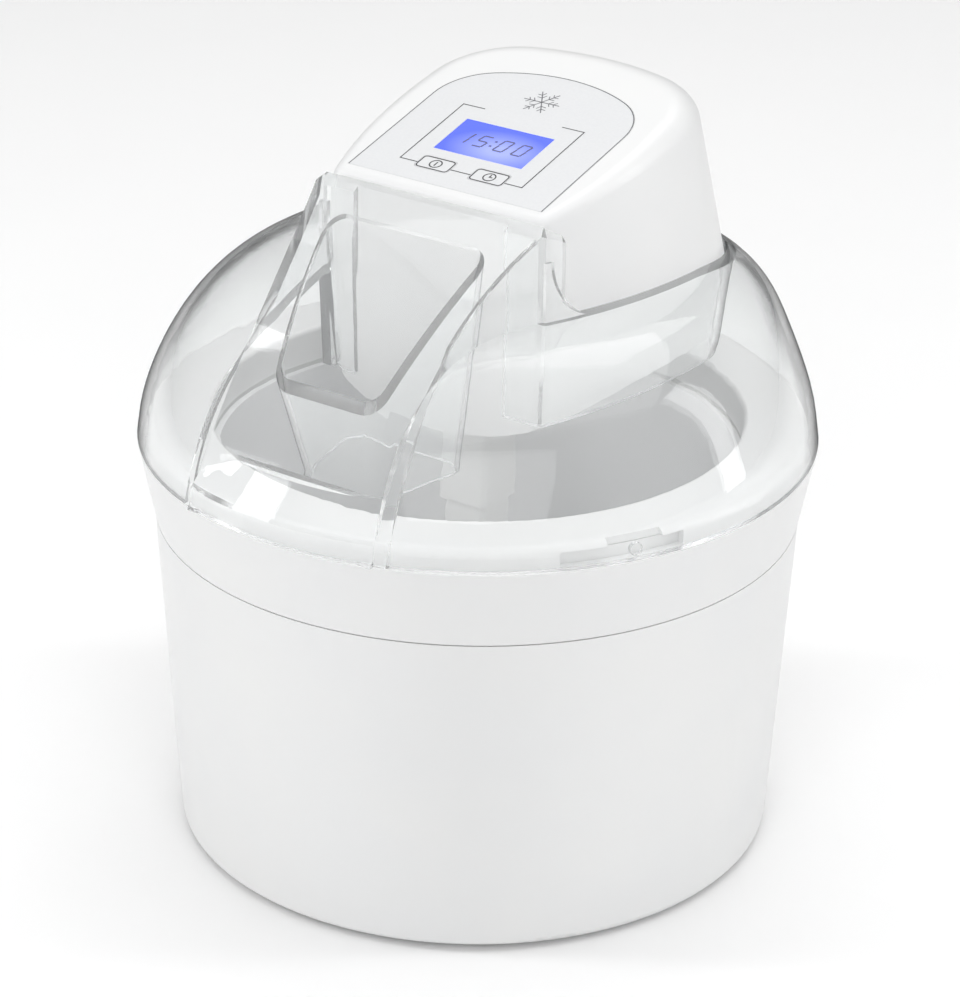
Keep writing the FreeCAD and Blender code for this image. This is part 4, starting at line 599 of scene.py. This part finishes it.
# The figures of the time on show, each with the place of its middle
TIME_SHOWN = (("1", -10.6), ("5", -3.9), ("0", 3.9), ("0", 10.6))
DIGIT_Y = 8.9
DIGIT_HALF_WIDTH = 1.7
DIGIT_HALF_HEIGHT = 3.1
DIGIT_SLANT = math.tan(math.radians(9))
# Each bar stops this far short of its grid corners
BAR_TRIM = 0.45
BAR_LINE = 0.65
COLON_DOT_RISE = 1.4
COLON_DOT_HALF = 0.1
COLON_DOT_LINE = 0.75


def digit_point(centre_x, corner, trim):
    """A corner of a figure's grid, pulled towards the bar's middle and leaning with the slant."""
    x = corner[0] * DIGIT_HALF_WIDTH
    y = corner[1] * DIGIT_HALF_HEIGHT
    return Vector((centre_x + x + DIGIT_SLANT * y, DIGIT_Y + y)) + trim


def display_digits():
    """The time on the display, in slanted figures of seven bars, with a colon."""
    piece = begin_print("display_digits")
    for figure, centre_x in TIME_SHOWN:
        for bar in FIGURES[figure]:
            first, last = BARS[bar]
            trim = (Vector(last) - Vector(first)).normalized() * BAR_TRIM
            stroke(digit_point(centre_x, first, trim), digit_point(centre_x, last, -trim), BAR_LINE)
    for rise in (-COLON_DOT_RISE, COLON_DOT_RISE):
        x = DIGIT_SLANT * rise
        y = DIGIT_Y + rise
        stroke((x - COLON_DOT_HALF, y), (x + COLON_DOT_HALF, y), COLON_DOT_LINE)
    end_print(piece, segment_ink, "drive_head")


panel_frame_lines()
painted_groove_shade_line()
start_key_mark()
timer_key_mark()
cold_symbol()
display_digits()


# Studio, in metres


FLOOR_SIZE = 12
PULP_MM = 60
# The bright side of the room lies above and behind the viewer
BRIGHT_SIDE = Vector((0.34, -0.49, 0.80))
# How bright the room is, from the side away from it to the bright side
ROOM_DARKEST = 0.05
ROOM_BETWEEN = ((0.45, 0.07), (0.75, 0.23))
ROOM_BRIGHTEST = 0.32
# Lamps, each with its place, width, height and power in watts, all aimed at one point
LAMPS = (("top_softbox", (0.1, 0.2, 2.1), 2.4, 2.4, 26),
         ("front_softbox", (0.92, -1.34, 1.15), 1.6, 1.2, 12.5),
         ("left_strip", (-1.31, -0.91, 0.75), 0.3, 1.5, 10),
         ("right_strip", (1.31, 0.91, 0.75), 0.3, 1.5, 7.5),
         ("back_softbox", (-0.7, 1.0, 1.9), 1.6, 1.2, 7))
LAMP_AIM = Vector((0, 0, 0.11))


def paper_floor():
    """A pale matt paper floor."""
    bpy.ops.mesh.primitive_plane_add(size=FLOOR_SIZE)
    floor = bpy.context.object
    floor.name = "paper_floor"
    material, tree, shader, place = start_material("pale_paper_floor")
    pulp = add(tree, "ShaderNodeTexNoise", {"Vector": place, "Scale": across(PULP_MM), "Detail": 2.0})
    tint = add(tree, "ShaderNodeMix", {0: pulp.outputs["Fac"], 6: linear("fbfbfb"), 7: linear("f9f9f9")},
               data_type="RGBA")
    tree.links.new(tint.outputs[2], shader.inputs["Base Color"])
    shader.inputs["Roughness"].default_value = 0.9
    floor.data.materials.append(material)
    floor.select_set(False)


def grey(level):
    """A plain grey of this linear brightness."""
    return (level, level, level, 1)


def studio_room():
    """A dim room that is brighter towards one side."""
    world = bpy.data.worlds.new("studio_room")
    world.use_nodes = True
    tree = world.node_tree
    aim = add(tree, "ShaderNodeTexCoord")
    facing = add(tree, "ShaderNodeVectorMath", {0: aim.outputs["Generated"], 1: BRIGHT_SIDE},
                 operation="DOT_PRODUCT")
    share = add(tree, "ShaderNodeMapRange", {"Value": facing.outputs["Value"], "From Min": -1.0})
    sky = add(tree, "ShaderNodeValToRGB", {"Fac": share.outputs["Result"]})
    stops = sky.color_ramp.elements
    stops[0].color = grey(ROOM_DARKEST)
    stops[1].color = grey(ROOM_BRIGHTEST)
    for spot, level in ROOM_BETWEEN:
        stops.new(spot).color = grey(level)
    tree.links.new(sky.outputs["Color"], tree.nodes["Background"].inputs["Color"])
    bpy.context.scene.world = world


def lamps():
    """Soft lights overhead, in front and behind, and a strip light on each side."""
    for name, place, width, height, power in LAMPS:
        lamp = bpy.data.lights.new(name, "AREA")
        lamp.shape = "RECTANGLE"
        lamp.size = width
        lamp.size_y = height
        lamp.energy = power
        light = bpy.data.objects.new(name, lamp)
        light.location = place
        light.rotation_euler = (LAMP_AIM - Vector(place)).to_track_quat("-Z", "Y").to_euler()
        light.visible_camera = False
        bpy.context.scene.collection.objects.link(light)


# The camera that took the photograph, as fitted to its outlines
LENS_MM = 127.93
SENSOR_MM = 36
NEAREST = 0.01
FARTHEST = 50
VIEW_FROM = Vector((0.5849, -0.8478, 0.595))
VIEW_AHEAD = Vector((-0.513, 0.745, -0.426))
VIEW_RIGHT = Vector((0.821, 0.572, 0.011))


def camera():
    """The photograph's view: from the right of the front, 25 degrees above."""
    lens = bpy.data.cameras.new("camera")
    lens.lens = LENS_MM
    lens.sensor_width = SENSOR_MM
    lens.clip_start = NEAREST
    lens.clip_end = FARTHEST
    viewer = bpy.data.objects.new("camera", lens)
    bpy.context.scene.collection.objects.link(viewer)
    ahead = VIEW_AHEAD.normalized()
    right = (VIEW_RIGHT - VIEW_RIGHT.dot(ahead) * ahead).normalized()
    up = right.cross(ahead)
    turn = Matrix((right, up, -ahead)).transposed().to_4x4()
    viewer.matrix_world = Matrix.Translation(VIEW_FROM) @ turn
    bpy.context.scene.camera = viewer


paper_floor()
studio_room()
lamps()
camera()
bpy.context.scene.view_settings.view_transform = "Standard"
